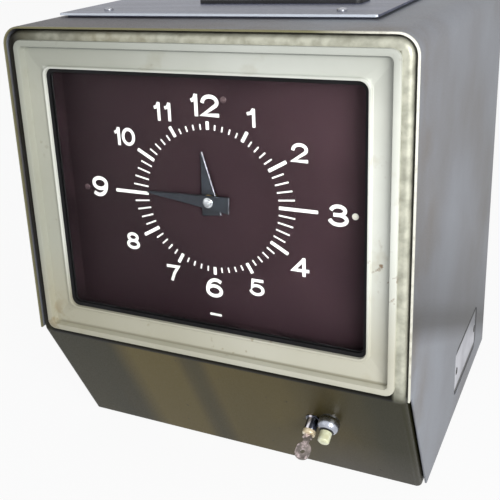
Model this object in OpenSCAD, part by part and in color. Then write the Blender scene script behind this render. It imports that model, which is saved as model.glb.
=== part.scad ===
// Steel time recorder with an analogue dial, a sloping lower front and a card throat on top.
// Millimetres. X runs to the right, Y to the back and Z up. The origin is on the table,
// under the middle of the case and its key.

/* [Case] */
// Width over the hood
case_w = 250; // [246:1:262]
// Height of the case without its feet
case_h = 291.8; // [288:0.2:300]
// Depth of the hood
case_d = 257; // [252:1:270]
// Height at which the front turns into the slope
bend_h = 91; // [86:1:94]
// How far the foot of the slope lies behind the front
slope_back = 48; // [44:1:50]
// Sheet thickness of hood and door
sheet = 1.2; // [1:0.1:1.4]
// Outer radius of the hood's upper corners
hood_r = 11.5; // [10:0.5:14]
// How far the hood's slanted edge stays behind the door's slope
hood_setback = 5; // [4:0.5:6]
// Width of the hood's turned-in bottom flanges
hood_flange = 10; // [8:1:12]
// Thickness of base and back plate
plate_t = 2; // [1.6:0.2:2.4]
// Depth at which the back plate sits inside the hood's rear edge
back_recess = 3; // [2.6:0.2:4]
// Radius of a rubber foot
foot_r = 8; // [6:1:10]
// Height of a rubber foot below the case
foot_h = 3; // [2.6:0.2:5]
// Clearance between parts that are bolted in place
seat_gap = 0.3; // [0.2:0.05:0.4]

/* [Wall mounting] */
// Hole spacing across
wall_dx = 160; // [120:5:180]
// Hole spacing up the back
wall_dz = 180; // [150:5:190]
// Radius of the wall screw holes
wall_hole_r = 2.75; // [2.25:0.25:3.25]

/* [Door] */
// Gap between door and hood
door_gap = 1.3; // [1.2:0.05:1.5]
// Depth of the door's turned-back edges
door_depth = 9; // [8:0.5:10]
// Radius of the door's upright front edges
door_edge_r = 4; // [3:0.5:5]
// Distance of the hinge axis from the hood's side sheet
hinge_side = 8.3; // [8.3:0.05:8.4]
// Radius of the hinge eyes
eye_r = 1.5; // [1.4:0.05:1.5]
// Radius of the hinge pins
hinge_pin_r = 0.8; // [0.7:0.05:0.9]
// Height of each hinge eye
eye_h = 4; // [3:0.5:5]
// Height of the lower hinge above the bend
hinge_low = 33; // [30:1:36]
// Distance of the upper hinge below the case top
hinge_high = 29.8; // [26:0.2:34]

/* [Bezel and window] */
// Distance of the bezel from the hood's outer side
bezel_side = 8.4; // [8:0.1:9.5]
// Distance of the bezel from the case top
bezel_top = 7.6; // [7:0.2:9]
// Distance of the bezel above the bend
bezel_low = 2.4; // [1.4:0.2:3]
// Outer corner radius of the bezel
bezel_r = 8; // [7:0.5:10]
// Width of the raised outer band
band_w = 4; // [3.6:0.2:4.4]
// How far the band stands in front of the door
band_out = 2; // [1.6:0.1:2]
// Depth of the sunk inner face behind the door's front
tray_in = 3.6; // [3:0.1:4]
// Wall thickness of the bezel moulding
bezel_t = 1.2; // [1:0.1:1.4]
// Width of the bezel's face at either side of the window
face_w = 17.3; // [16:0.1:19]
// Width of the bezel's face above and below the window
face_h = 17.7; // [16:0.1:19]
// Corner radius of the window opening
window_r = 5; // [4:0.5:7]
// Thickness of the crystal
crystal_t = 2; // [1.6:0.2:2.4]
// Width of the black gasket showing inside the window
gasket_show = 2; // [1.5:0.25:2.5]
// Thickness of a gasket lip
gasket_lip = 0.8; // [0.6:0.1:1]

/* [Dial and hands] */
// Depth of the dial face behind the front
dial_in = 19.3; // [19:0.1:20]
// How far the dial plate's side stays inside the window's side
dial_side = 0.8; // [0.2:0.2:3]
// How far the dial plate reaches above and below the window
dial_over = 1.8; // [0.2:0.2:3]
// How far the dial's backing reaches past the dial plate's side
backing_side = 17; // [14:1:19]
// How far the dial's backing reaches above and below the dial plate
backing_over = 13; // [11:1:15]
// Thickness of the dial plate and of its backing
dial_t = 1.2; // [1:0.1:1.4]
// Distance of the side screws from the dial plate's side
dial_screw_in = 10.5; // [8:0.5:14]
// Hour on the dial
shown_hour = 11; // [0:1:11]
// Minutes past the hour
shown_minute = 45.6; // [0:0.2:59.8]
// Length of the minute hand
minute_len = 41.4; // [36:0.2:50]
// Tail of the minute hand
minute_tail = 13.4; // [10:0.2:16]
// Width of the minute hand at its tail
minute_w = 10.4; // [9:0.2:12]
// Length of the hour hand
hour_len = 30.4; // [24:0.2:34]
// Tail of the hour hand
hour_tail = 8.6; // [7:0.2:12]
// Width of the hour hand at its tail
hour_w = 12.6; // [11:0.2:14]
// Thickness of a hand
hand_t = 1; // [0.8:0.1:1.2]

/* [Clockwork] */
// Radius of the centre arbor
arbor_r = 1.6; // [1.4:0.1:1.8]
// Outer radius of the tube that carries the minute hand
cannon_r = 3; // [2.8:0.1:3.2]
// Outer radius of the tube that carries the hour hand
hour_tube_r = 4.4; // [4.2:0.1:4.8]
// Radial running clearance of arbors and tubes
run_gap = 0.06; // [0.04:0.01:0.1]
// Tooth size of the cannon pinion and the minute wheel
motion_module = 1; // [0.96:0.02:1.04]
// Tooth size of the motor pinion and the centre wheel
drive_module = 0.8; // [0.76:0.02:0.84]
// Width of a movement plate
movement_w = 104; // [100:1:110]
// Radius of the motor can
motor_r = 20; // [18:0.5:21]
// Length of the motor can
motor_len = 24; // [20:1:26]
// Radius of pillars and dial posts
pillar_r = 4; // [3:0.5:5]

/* [Printing unit] */
// Depth of the type shaft behind the front
type_y = 78; // [77.5:0.1:78.5]
// Radius of the type shaft
type_shaft_r = 3; // [2.5:0.25:3.25]
// Radius over the type on the wheels
type_r = 21.6; // [21:0.1:22]
// Width of a type wheel
type_w = 6; // [5:0.5:6]
// Pitch radius of the bevel gears
bevel_r = 10; // [9.5:0.1:10.5]
// Radius of a wound ribbon
ribbon_roll_r = 12; // [10:0.5:13]
// Height of the ribbon spools above and below the print line
spool_dz = 60; // [58:1:64]
// Radius of the hammer shaft
hammer_shaft_r = 3; // [2.5:0.25:3.5]
// Height of the hammer face above its shaft
hammer_arm = 40; // [38:1:42]
// Distance of the hammer shaft below which the plunger takes hold
hammer_tail = 20; // [18:1:22]
// Width of the solenoid's yoke
solenoid_w = 30; // [28:1:32]
// Length of the solenoid's yoke
solenoid_d = 34; // [31:1:36]
// Height of the solenoid's yoke
solenoid_h = 28; // [26:1:30]

/* [Card path] */
// Width of the card throat
throat_w = 90; // [84:1:94]
// Thickness of the card gap
card_gap = 4.6; // [4.5:0.1:5]
// Sideways place of the card's middle
card_x = 14; // [12:1:16]
// How far the card guides reach below the print line
guide_drop = 126.8; // [120:0.2:130]
// Sheet thickness of the card guides
guide_t = 0.8; // [0.7:0.1:1]

/* [Top plate] */
// Distance of the plate's left end from the hood's left side
top_left_in = 12; // [12:1:17]
// Distance of the plate's right end from the hood's right side
top_right_in = 32; // [27:1:37]
// Front edge of the plate behind the front
top_front = 42; // [36:1:48]
// Depth of the plate
top_d = 150; // [130:5:170]
// Thickness of the plate
top_t = 1.3; // [1:0.1:1.6]
// Height of the shadow gap under the plate's edge
top_lift = 1.2; // [0.8:0.1:1.6]
// Distance of the plate's screws from its ends
top_screw_x = 26; // [20:1:30]
// Distance of the plate's screws from its front and rear edge
top_screw_y = 18; // [12:1:20]

/* [Side plate] */
// Front end of the cut-out in the hood's right side
side_y0 = 136; // [130:1:150]
// Rear end of the cut-out
side_y1 = 218; // [205:1:225]
// Lower edge of the cut-out
side_z0 = 14.5; // [14:0.5:18]
// Upper edge of the cut-out
side_z1 = 50; // [44:1:56]
// Gap round the plate
side_gap = 1.2; // [0.8:0.1:1.6]

/* [Lock] */
// Sideways place of the lock
lock_x = 62; // [56:1:64]
// Distance of the lock down the slope from the bend
lock_s = 43; // [40:1:46]
// Radius of the lock's collar
lock_r = 3.8; // [3.6:0.1:4.4]
// Height of the collar above the door
lock_out = 8.3; // [7:0.1:10]
// Radius of the plug's head
head_r = 4; // [3.6:0.1:4.6]
// Thickness of the plug's head
head_t = 2.9; // [2:0.1:4]
// Radius of the threaded body
lock_body_r = 3.5; // [3.4:0.1:3.6]
// Length of the body behind the door's face
lock_in = 14; // [13.5:0.5:15]
// Radius of the plug
plug_r = 2.5; // [2.4:0.05:2.6]
// Length of the cam from the plug's axis
cam_len = 24; // [20:1:26]
// Thickness of the key
key_t = 1.6; // [1.4:0.1:1.8]
// Width of the key's blade
blade_w = 3.6; // [3.2:0.1:3.8]
// Width of the key's bow
bow_w = 9; // [8:0.5:10.5]
// Length of the key's bow
bow_len = 11; // [10:0.5:14]
// Height of the bow's end above the door
bow_end = 27.5; // [26:0.5:31]

/* [Knob] */
// Sideways place of the knob
knob_x = 73.5; // [73:0.5:78]
// Distance of the knob down the slope from the bend
knob_s = 38.5; // [37:0.5:40]
// Radius of the knob
knob_r = 6.7; // [6:0.1:7]
// Height of the knob above the door
knob_out = 9.2; // [8.6:0.1:12]
// Radius of the stud's head
stud_r = 3.6; // [3:0.1:4]
// Height of the stud's head above the door
stud_out = 16; // [14:0.5:16]
// Radius of the stud's shank
shank_r = 2; // [1.5:0.1:2.2]

/* [Inner frame] */
// Distance of the frame plates from the hood's outer side
frame_side = 40; // [37:0.5:42]
// Thickness of a frame plate
frame_t = 2; // [1.6:0.2:2.4]
// Rear edge of the frame plates behind the front
frame_back = 172; // [168:1:180]
// Distance of the frame plates' upper edge below the case top
frame_drop = 15.8; // [12:0.2:20]

/* [Power unit and cord bushing] */
// Width of the transformer
power_w = 54; // [50:1:58]
// Depth of the transformer
power_d = 44; // [40:1:48]
// Height of the transformer
power_h = 42; // [36:1:46]
// Width of the terminal block
terminal_w = 56; // [52:1:60]
// Depth of the terminal block
terminal_d = 18; // [14:1:20]
// Height of the terminal block
terminal_h = 14; // [12:1:18]
// Radius of the bushing's bore
gland_r = 3.6; // [3:0.1:4]
// Distance of the bushing's axis from the hood's side sheet
gland_side = 26; // [22:1:30]
// Height of the bushing's axis above the base plate
gland_up = 34; // [30:1:38]

/* [Screws] */
// Radius of the case screws
case_screw_r = 2; // [1.8:0.1:2.2]
// Radius of a case screw's head
case_head_r = 3.6; // [3.4:0.1:4]
// Radius of the plates' screws
small_screw_r = 1.5; // [1.3:0.1:1.6]
// Radius of a plate screw's head and nut
small_head_r = 3; // [2.8:0.1:3.2]
// Radial clearance of a screw in its hole
screw_gap = 0.1; // [0.1:0.05:0.2]
/* [Hidden] */
$fn = 48;
slope_a = atan(slope_back / bend_h);
slope_c = cos(slope_a);
slope_s = sin(slope_a);
far = 400;
cut = 1;
side_in = case_w / 2 - sheet;
top_in = case_h - sheet;
door_w = 2 * (side_in - door_gap);
door_top = top_in - door_gap;
door_low = 1;
door_r = hood_r - sheet - door_gap;
bezel_w = case_w - 2 * bezel_side;
bezel_h = case_h - bend_h - bezel_top - bezel_low;
window_w = bezel_w - 2 * face_w;
window_h = bezel_h - 2 * face_h;
dial_z = bend_h + bezel_low + bezel_h / 2;
dial_w = window_w - 2 * dial_side;
dial_h = window_h + 2 * dial_over;
base_z = sheet;
base_top = base_z + plate_t;
back_y = case_d - back_recess - plate_t;
door_rear_y = door_depth * slope_c + (bend_h + door_depth * slope_s - door_low) / slope_c * slope_s;
base_front = door_rear_y + 2.4;
hinge_z = [bend_h + hinge_low, case_h - hinge_high];
hinge_x = -(side_in - hinge_side);
hinge_depth = sheet + eye_r;
arm_r = eye_r - 0.2;
slot_y = hinge_depth - arm_r - 0.4;
eye_gap = 0.3;
arm_h = eye_h + 1;
tray_w = bezel_w - 2 * band_w;
tray_h = bezel_h - 2 * band_w;
lip_w = 1.6;
lip_out = 1;
gasket_y = tray_in + bezel_t;
crystal_y = gasket_y + gasket_lip;
gasket_end = crystal_y + crystal_t + gasket_lip;
retainer_t = 1;
hour_hand_y = dial_in - 2.7;
minute_hand_y = hour_hand_y - hand_t - 0.8;
nut_y = minute_hand_y - 1.6;
backing_y = dial_in + dial_t;
backing_w = dial_w + 2 * backing_side;
backing_h = dial_h + 2 * backing_over;
motion_y = backing_y + dial_t + 1.2;
plate_a = motion_y + 7;
plate_b = plate_a + plate_t + 20;
plate_b_end = plate_b + plate_t;
cannon_teeth = 12;
minute_teeth = 36;
hour_teeth = 48;
motion_d = motion_module * (cannon_teeth + minute_teeth) / 2;
hour_module = 2 * motion_d / (cannon_teeth + hour_teeth);
centre_teeth = 72;
drive_d = drive_module * (cannon_teeth + centre_teeth) / 2;
motion_a = -45;
motor_a = 225;
pillar_at = movement_w / 2 - 9;
bevel_teeth = 16;
bevel_face = 4;
bevel_y = type_y - bevel_r;
carry_d = drive_module * (cannon_teeth + hour_teeth) / 2;
carry_module = 2 * carry_d / (cannon_teeth + centre_teeth);
frame_w = case_w - 2 * frame_side;
frame_h = case_h - frame_drop;
guide_low = dial_z - guide_drop;
bracket_x = 15;
type_x = [22, 32, 40];
ribbon_t = 0.2;
ribbon_y = type_y + type_r + 0.6;
guide_y = ribbon_y + ribbon_t + 0.5;
card_y = guide_y + guide_t;
rear_guide_y = card_y + card_gap;
spool_y = ribbon_y - ribbon_roll_r - 0.3;
spool_r = ribbon_roll_r + 0.6;
spool_x0 = 19;
spool_x1 = 49;
hammer_y = rear_guide_y + guide_t + 13;
hammer_z = dial_z - hammer_arm;
hammer_x0 = 21;
hammer_x1 = 47;
hammer_mid = (hammer_x0 + hammer_x1) / 2;
cross_y = hammer_y + 9;
plunger_r = 4;
frame_screw_r = 1.6;
print_window = 9;
stop_x = card_x - 22;
stop_z = guide_low + 14;
top_left = -(case_w / 2 - top_left_in);
top_right = case_w / 2 - top_right_in;
top_z = case_h + top_lift;
wall_mid_z = dial_z - 20;
back_screw_low = dial_z - wall_dz / 2;
back_screw_high = wall_mid_z + wall_dz / 2;
throat_y = card_y + card_gap / 2;
lip_h = 8;
head_out = lock_out + head_t;
front_reach = lock_s * slope_s - bow_end * slope_c - key_t / 2 * slope_s;
origin_y = (case_d + min(front_reach, -band_out)) / 2;

// Moves a piece from front-left drawing coordinates to the part's own frame.
module placed() {
    translate([0, -origin_y, foot_h]) children();
}

// Extrudes a Y-Z drawing across X, centred.
module along_x(w) {
    rotate([90, 0, 90]) linear_extrude(height = w, center = true) children();
}

// Extrudes a Y-Z drawing from one X to another.
module from_x(x0, x1) {
    translate([x0, 0, 0]) rotate([90, 0, 90]) linear_extrude(height = x1 - x0) children();
}

// Extrudes an X-Z drawing from one Y to another.
module from_y(y0, y1) {
    translate([0, y1, 0]) rotate([90, 0, 0]) linear_extrude(height = y1 - y0) children();
}

module rod_x(r, x0, x1, y, z) {
    translate([x0, y, z]) rotate([0, 90, 0]) cylinder(r = r, h = x1 - x0);
}

module rod_y(r, y0, y1, x, z) {
    translate([x, y0, z]) rotate([-90, 0, 0]) cylinder(r = r, h = y1 - y0);
}

module rod_z(r, z0, z1, x, y) {
    translate([x, y, z0]) cylinder(r = r, h = z1 - z0);
}

// A block given by its lowest and highest corners.
module block(a, b) {
    translate(a) cube(b - a);
}

// A centred rectangle with round corners.
module round_rect(w, h, r) {
    square([w - 2 * r, h], center = true);
    square([w, h - 2 * r], center = true);
    for (x = [-1, 1], z = [-1, 1]) {
        translate([x * (w / 2 - r), z * (h / 2 - r)]) circle(r = r);
    }
}

// The hood's front view: square below, round above.
module arch(w, h, r) {
    translate([-w / 2, 0]) square([w, h - r]);
    translate([-(w / 2 - r), 0]) square([w - 2 * r, h]);
    for (x = [-1, 1]) translate([x * (w / 2 - r), h - r]) circle(r = r);
}

// A spur gear drawn with one tooth on its +X side.
function tooth_angle(i, share, teeth) = (i + share) * 360 / teeth;
module gear_outline(teeth, size) {
    root = size * teeth / 2 - 1.15 * size;
    tip = size * teeth / 2 + 0.8 * size;
    polygon([
        for (i = [0 : teeth - 1], k = [[-0.26, root], [-0.11, tip], [0.11, tip], [0.26, root]])
            let (a = tooth_angle(i, k[0], teeth)) [k[1] * cos(a), k[1] * sin(a)]
    ]);
}

/* Casing */

// The side view in front of the hood's edge, which is cut away.
module hood_front_cut() {
    jog = hood_setback / slope_c;
    foot = jog + slope_back;
    over = 10;
    along_x(far) polygon([
        [-over, bend_h], [jog, bend_h],
        [foot + over * slope_back / bend_h, -over], [-over, -over]
    ]);
}

module side_cutout(grow) {
    translate([(side_y0 + side_y1) / 2, (side_z0 + side_z1) / 2])
        round_rect(side_y1 - side_y0 + 2 * grow, side_z1 - side_z0 + 2 * grow, 6 + grow);
}

module hood() {
    tab = 14;
    color([0.50, 0.49, 0.50]) placed() {
        difference() {
            union() {
                difference() {
                    from_y(0, case_d) arch(case_w, case_h, hood_r);
                    from_y(-cut, case_d + cut) translate([0, -cut])
                        arch(case_w - 2 * sheet, top_in + cut, hood_r - sheet);
                }
                for (s = [-1, 1]) {
                    block([min(s * side_in, s * (side_in - hood_flange)), base_front, 0],
                          [max(s * side_in, s * (side_in - hood_flange)), back_y - 2, sheet]);
                    for (z = [back_screw_low, back_screw_high]) {
                        block([min(s * side_in, s * (side_in - tab)), back_y - sheet, z - tab / 2],
                              [max(s * side_in, s * (side_in - tab)), back_y, z + tab / 2]);
                    }
                }
            }
            hood_front_cut();
            from_x(case_w / 2 - 5, case_w / 2 + cut) side_cutout(0);
            block([card_x - throat_w / 2 - 5, throat_y - 7, top_in - cut],
                  [card_x + throat_w / 2 + 5, throat_y + 7, case_h + cut]);
            at_hood_screws() rod_z(case_screw_r + screw_gap, -cut, sheet + cut, 0, 0);
            at_back_screws() rod_y(case_screw_r + screw_gap, back_y - 5, back_y + cut, 0, 0);
            at_top_screws() rod_z(small_screw_r + screw_gap, top_in - cut, case_h + cut, 0, 0);
        }
    }
}

module at_hood_screws() {
    for (x = [-1, 1], y = [base_front + 20, back_y - 24])
        translate([x * (side_in - hood_flange / 2), y, 0]) children();
}

module at_back_screws() {
    for (x = [-1, 1], z = [back_screw_low, back_screw_high])
        translate([x * (side_in - 7), 0, z]) children();
}

module base_plate() {
    w = 2 * (side_in - seat_gap);
    color([0.36, 0.38, 0.42]) placed() difference() {
        union() {
            block([-w / 2, base_front, base_z], [w / 2, back_y, base_top]);
            block([-w / 2, base_front, base_z], [w / 2, base_front + plate_t, base_top + lip_h]);
        }
        at_hood_screws() rod_z(case_screw_r + screw_gap, -cut, base_top + cut, 0, 0);
        at_feet() rod_z(3, -cut, base_top + cut, 0, 0);
        at_frame_screws() rod_z(frame_screw_r, -cut, base_top + cut, 0, 0);
    }
}

module at_feet() {
    for (x = [-1, 1], y = [base_front + 24, back_y - 20])
        translate([x * (side_in - hood_flange - foot_r - 1.2), y, 0]) children();
}

module rubber_feet() {
    color([0.09, 0.09, 0.10]) placed() at_feet() {
        rod_z(foot_r, -foot_h, base_z, 0, 0);
        rod_z(2.9, base_z, base_top, 0, 0);
        rod_z(4, base_top, base_top + 1.4, 0, 0);
    }
}

module back_plate() {
    w = 2 * (side_in - seat_gap);
    vents = 7;
    vent_w = 60;
    vent_h = 3;
    vent_pitch = 8;
    color([0.46, 0.46, 0.46]) placed() difference() {
        from_y(back_y, back_y + plate_t) translate([0, base_top])
            arch(w, top_in - seat_gap - base_top, hood_r - sheet);
        for (x = [-1, 1], z = [-1, 1])
            rod_y(wall_hole_r, back_y - cut, back_y + plate_t + cut,
                  x * wall_dx / 2, wall_mid_z + z * wall_dz / 2);
        at_back_screws() rod_y(case_screw_r + screw_gap, back_y - cut, back_y + plate_t + cut, 0, 0);
        for (i = [0 : vents - 1])
            translate([0, 0, dial_z + 20 + i * vent_pitch])
                block([-vent_w / 2, back_y - cut, 0], [vent_w / 2, back_y + plate_t + cut, vent_h]);
        at_gland() rod_y(2 * gland_r, back_y - cut, back_y + plate_t + cut, 0, 0);
    }
}

module at_gland() {
    translate([side_in - gland_side, 0, base_top + gland_up]) children();
}

module case_screws() {
    head_t = 2;
    color([0.62, 0.62, 0.64]) placed() {
        at_hood_screws() {
            rod_z(case_head_r, -head_t + 0.2, 0, 0, 0);
            rod_z(case_screw_r, 0, base_top + 4, 0, 0);
            rod_z(case_head_r + 0.2, base_top, base_top + 3, 0, 0);
        }
        at_back_screws() difference() {
            union() {
                rod_y(case_head_r, back_y + plate_t, back_y + plate_t + head_t, 0, 0);
                rod_y(case_screw_r, back_y - 5, back_y + plate_t, 0, 0);
            }
            block([-3, back_y + plate_t + 1.2, -0.5], [3, back_y + plate_t + 3, 0.5]);
        }
    }
}

module at_side_screws() {
    for (y = [side_y0 + 7, side_y1 - 7])
        translate([side_in, y, (side_z0 + side_z1) / 2]) children();
}

module side_plate() {
    color([0.82, 0.82, 0.84]) placed() difference() {
        union() {
            from_x(side_in - sheet, side_in) side_cutout(3);
            from_x(side_in, side_in + sheet - 0.2) side_cutout(-side_gap);
        }
        at_side_screws() rod_x(small_screw_r + screw_gap, -5, 5, 0, 0);
        at_side_screws() rod_x(small_head_r, 0, 5, 0, 0);
    }
}

module side_plate_screws() {
    color([0.10, 0.10, 0.11]) placed() at_side_screws() {
        rod_x(small_head_r - seat_gap, 0, sheet, 0, 0);
        rod_x(small_screw_r, -4, 0, 0, 0);
        rod_x(small_head_r, -sheet - 2, -sheet, 0, 0);
    }
}

module at_top_screws() {
    for (x = [top_left + top_screw_x, top_right - top_screw_x],
         y = [top_front + top_screw_y, top_front + top_d - top_screw_y])
        translate([x, y, 0]) children();
}

module top_plate() {
    inset = 4;
    color([0.72, 0.75, 0.82]) placed() difference() {
        union() {
            block([top_left, top_front, top_z], [top_right, top_front + top_d, top_z + top_t]);
            block([top_left + inset, top_front + inset, case_h],
                  [top_right - inset, top_front + top_d - inset, top_z]);
        }
        block([card_x - throat_w / 2 - 5, throat_y - 7, case_h - cut],
              [card_x + throat_w / 2 + 5, throat_y + 7, top_z + top_t + cut]);
        at_top_screws() rod_z(small_screw_r + screw_gap, case_h - cut, top_z + top_t + cut, 0, 0);
    }
}

module top_plate_screws() {
    color([0.55, 0.56, 0.60]) placed() at_top_screws() difference() {
        union() {
            rod_z(small_head_r, top_z + top_t, top_z + top_t + 1.4, 0, 0);
            rod_z(small_screw_r, top_in - 5, top_z + top_t, 0, 0);
            rod_z(small_head_r, top_in - 2.4, top_in, 0, 0);
        }
        block([-2.4, -0.4, top_z + top_t + 0.7], [2.4, 0.4, top_z + top_t + 2]);
    }
}

// Moulded funnel that leads the card from the top plate to the guides.
module card_throat() {
    rim = top_z + top_t;
    foot = rear_guide_top();
    color([0.08, 0.08, 0.09]) placed() difference() {
        union() {
            block([card_x - throat_w / 2 - 9, throat_y - 11, rim],
                  [card_x + throat_w / 2 + 9, throat_y + 11, rim + 2.2]);
            block([card_x - throat_w / 2 - 4.6, throat_y - 6.6, foot + seat_gap],
                  [card_x + throat_w / 2 + 4.6, throat_y + 6.6, rim]);
        }
        block([card_x - throat_w / 2, throat_y - card_gap / 2, foot - cut],
              [card_x + throat_w / 2, throat_y + card_gap / 2, rim + 4]);
        along_throat() polygon([
            [throat_y - card_gap / 2, rim - 6], [throat_y - 5, rim + 2.3],
            [throat_y + 5, rim + 2.3], [throat_y + card_gap / 2, rim - 6]
        ]);
    }
}

module along_throat() {
    from_x(card_x - throat_w / 2, card_x + throat_w / 2) children();
}

function rear_guide_top() = top_in - 10;

/* Door */

// A slab that follows the door's front, inset by the given distance.
module door_slab(inset) {
    over = 20;
    intersection() {
        linear_extrude(height = far) door_section(inset);
        bend_side(1);
    }
    intersection() {
        translate([0, 0, bend_h]) rotate([slope_a, 0, 0]) translate([0, 0, -far])
            linear_extrude(height = far + over) door_section(inset);
        bend_side(-1);
    }
}

// Half space above (1) or below (-1) the mitre through the bend.
module bend_side(s) {
    translate([0, 0, bend_h]) rotate([slope_a / 2, 0, 0])
        translate([-far / 2, -far / 2, s > 0 ? 0 : -far]) cube([far, far, far]);
}

// Plan view of the door's edges: round in front, open behind.
module door_section(inset) {
    r = door_edge_r - inset;
    w = door_w - 2 * inset;
    depth = inset > 0 ? door_depth + cut : door_depth;
    translate([-w / 2, inset + r]) square([w, depth - inset - r]);
    translate([-w / 2 + r, inset]) square([w - 2 * r, depth - inset]);
    for (x = [-1, 1]) translate([x * (w / 2 - r), inset + r]) circle(r = r);
}

module door_view(inset) {
    translate([0, door_low + inset])
        arch(door_w - 2 * inset, door_top - door_low - 2 * inset, door_r - inset);
}

module door() {
    color([0.36, 0.33, 0.25]) placed() difference() {
        intersection() {
            door_slab(0);
            from_y(-far, far) door_view(0);
        }
        intersection() {
            door_slab(sheet);
            from_y(-far, far) door_view(sheet);
        }
        from_y(-cut, door_depth / 2) translate([0, dial_z])
            round_rect(tray_w + 2 * bezel_t + 2 * seat_gap, tray_h + 2 * bezel_t + 2 * seat_gap,
                       bezel_r - band_w + bezel_t + seat_gap);
        for (z = hinge_z)
            block([-door_w / 2 - cut, slot_y, z - arm_h / 2 - 0.6],
                  [hinge_x - 3, door_depth + cut, z + arm_h / 2 + 0.6]);
        on_slope(lock_x, lock_s) rod_z(lock_body_r + 0.1, -sheet - cut, cut, 0, 0);
        on_slope(knob_x, knob_s) rod_z(shank_r + 0.1, -sheet - cut, cut, 0, 0);
    }
}

module case_hinge_arms() {
    foot_t = 1.6;
    foot_y = 13;
    color([0.55, 0.55, 0.56]) placed() for (z = hinge_z) difference() {
        union() {
            block([-side_in, foot_y, z - 9], [-side_in + foot_t, foot_y + 16, z + 9]);
            block([-side_in + foot_t, foot_y, z - arm_h / 2], [hinge_x + arm_r, foot_y + 4, z + arm_h / 2]);
            block([hinge_x - arm_r, hinge_depth, z - arm_h / 2],
                  [hinge_x + arm_r, foot_y + 4, z + arm_h / 2]);
            rod_z(arm_r, z - arm_h / 2, z + arm_h / 2, hinge_x, hinge_depth);
        }
        rod_z(hinge_pin_r, z - far, z + far, hinge_x, hinge_depth);
    }
}

module door_hinge_eyes() {
    color([0.55, 0.55, 0.56]) placed()
        for (z = hinge_z, s = [-1, 1]) {
            low = s > 0 ? z + arm_h / 2 + eye_gap : z - arm_h / 2 - eye_gap - eye_h;
            difference() {
                union() {
                    block([hinge_x - eye_r, sheet, low], [hinge_x + eye_r, hinge_depth, low + eye_h]);
                    rod_z(eye_r, low, low + eye_h, hinge_x, hinge_depth);
                }
                rod_z(hinge_pin_r + run_gap, low - cut, low + eye_h + cut, hinge_x, hinge_depth);
            }
        }
}

module hinge_pins() {
    reach = arm_h / 2 + eye_gap + eye_h + 0.6;
    color([0.66, 0.66, 0.68]) placed() for (z = hinge_z)
        rod_z(hinge_pin_r, z - reach, z + reach, hinge_x, hinge_depth);
}

module bezel() {
    color([0.84, 0.83, 0.74]) placed() translate([0, 0, dial_z]) difference() {
        union() {
            difference() {
                from_y(-band_out, 0) round_rect(bezel_w, bezel_h, bezel_r);
                from_y(-band_out - cut, cut) round_rect(tray_w, tray_h, bezel_r - band_w);
            }
            difference() {
                from_y(-band_out, gasket_y)
                    round_rect(tray_w + 2 * bezel_t, tray_h + 2 * bezel_t, bezel_r - band_w + bezel_t);
                from_y(-band_out - cut, tray_in) round_rect(tray_w, tray_h, bezel_r - band_w);
            }
            from_y(tray_in - lip_out, gasket_y)
                round_rect(window_w + 2 * lip_w, window_h + 2 * lip_w, window_r + lip_w);
        }
        from_y(-far, far) round_rect(window_w, window_h, window_r);
    }
}

module bezel_clips() {
    clip = 4.5;
    reach = tray_w / 2 - 42.6;
    color([0.60, 0.60, 0.62]) placed() translate([0, 0, dial_z])
        for (x = [-reach, 0, reach], s = [-1, 1]) {
            z = s * (tray_h / 2 + bezel_t);
            block([x - 6, sheet, min(z, z + s * clip)], [x + 6, sheet + 1.2, max(z, z + s * clip)]);
        }
}

module crystal() {
    color([0.85, 0.88, 0.90, 0.3]) placed() translate([0, 0, dial_z])
        from_y(crystal_y, crystal_y + crystal_t) round_rect(window_w + 3, window_h + 3, window_r + 1.5);
}

module crystal_gasket() {
    grow = 7;
    show = 2 * gasket_show;
    color([0.05, 0.05, 0.05]) placed() translate([0, 0, dial_z]) difference() {
        from_y(gasket_y, gasket_end) round_rect(window_w + grow, window_h + grow, window_r + grow / 2);
        from_y(gasket_y - cut, gasket_end + cut)
            round_rect(window_w - show, window_h - show, window_r - gasket_show);
        from_y(crystal_y, crystal_y + crystal_t) round_rect(window_w + 3, window_h + 3, window_r + 1.5);
    }
}

// Steel frame that presses gasket and crystal against the bezel.
module crystal_retainer() {
    grow = 16;
    post_r = 2;
    color([0.50, 0.50, 0.52]) placed() translate([0, 0, dial_z]) {
        difference() {
            from_y(gasket_end, gasket_end + retainer_t)
                round_rect(window_w + grow, window_h + grow, window_r + grow / 2);
            from_y(gasket_end - cut, gasket_end + retainer_t + cut)
                round_rect(window_w + 1, window_h + 1, window_r);
        }
        for (x = [-1, 1], z = [-1, 1])
            rod_y(post_r, gasket_y, gasket_end, x * (window_w / 2 + 6), z * (window_h / 2 - 20));
    }
}

/* Lock and knob. The drawing plane is the slope: Y runs up it and Z stands out of it. */

module on_slope(x, s) {
    translate([x, s * slope_s, bend_h - s * slope_c]) rotate([90 + slope_a, 0, 0]) children();
}

module at_lock() {
    on_slope(lock_x, lock_s) children();
}

module lock_body() {
    flange_t = 1;
    color([0.80, 0.81, 0.84]) placed() at_lock() difference() {
        union() {
            rotate_extrude() polygon([
                [0, 0], [lock_r + 1.2, 0], [lock_r + 1.2, flange_t * 0.5], [lock_r + 0.6, flange_t],
                [lock_r, flange_t], [lock_r, lock_out], [0, lock_out]
            ]);
            rod_z(lock_body_r, -lock_in, 0, 0, 0);
        }
        rod_z(plug_r + run_gap, -lock_in - cut, lock_out + cut, 0, 0);
    }
}

module lock_nut() {
    nut_t = 3.2;
    color([0.62, 0.60, 0.52]) placed() at_lock() difference() {
        translate([0, 0, -sheet - nut_t]) cylinder(r = lock_body_r + 2.8, h = nut_t, $fn = 6);
        rod_z(lock_body_r, -sheet - nut_t - cut, 0, 0, 0);
    }
}

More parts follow.
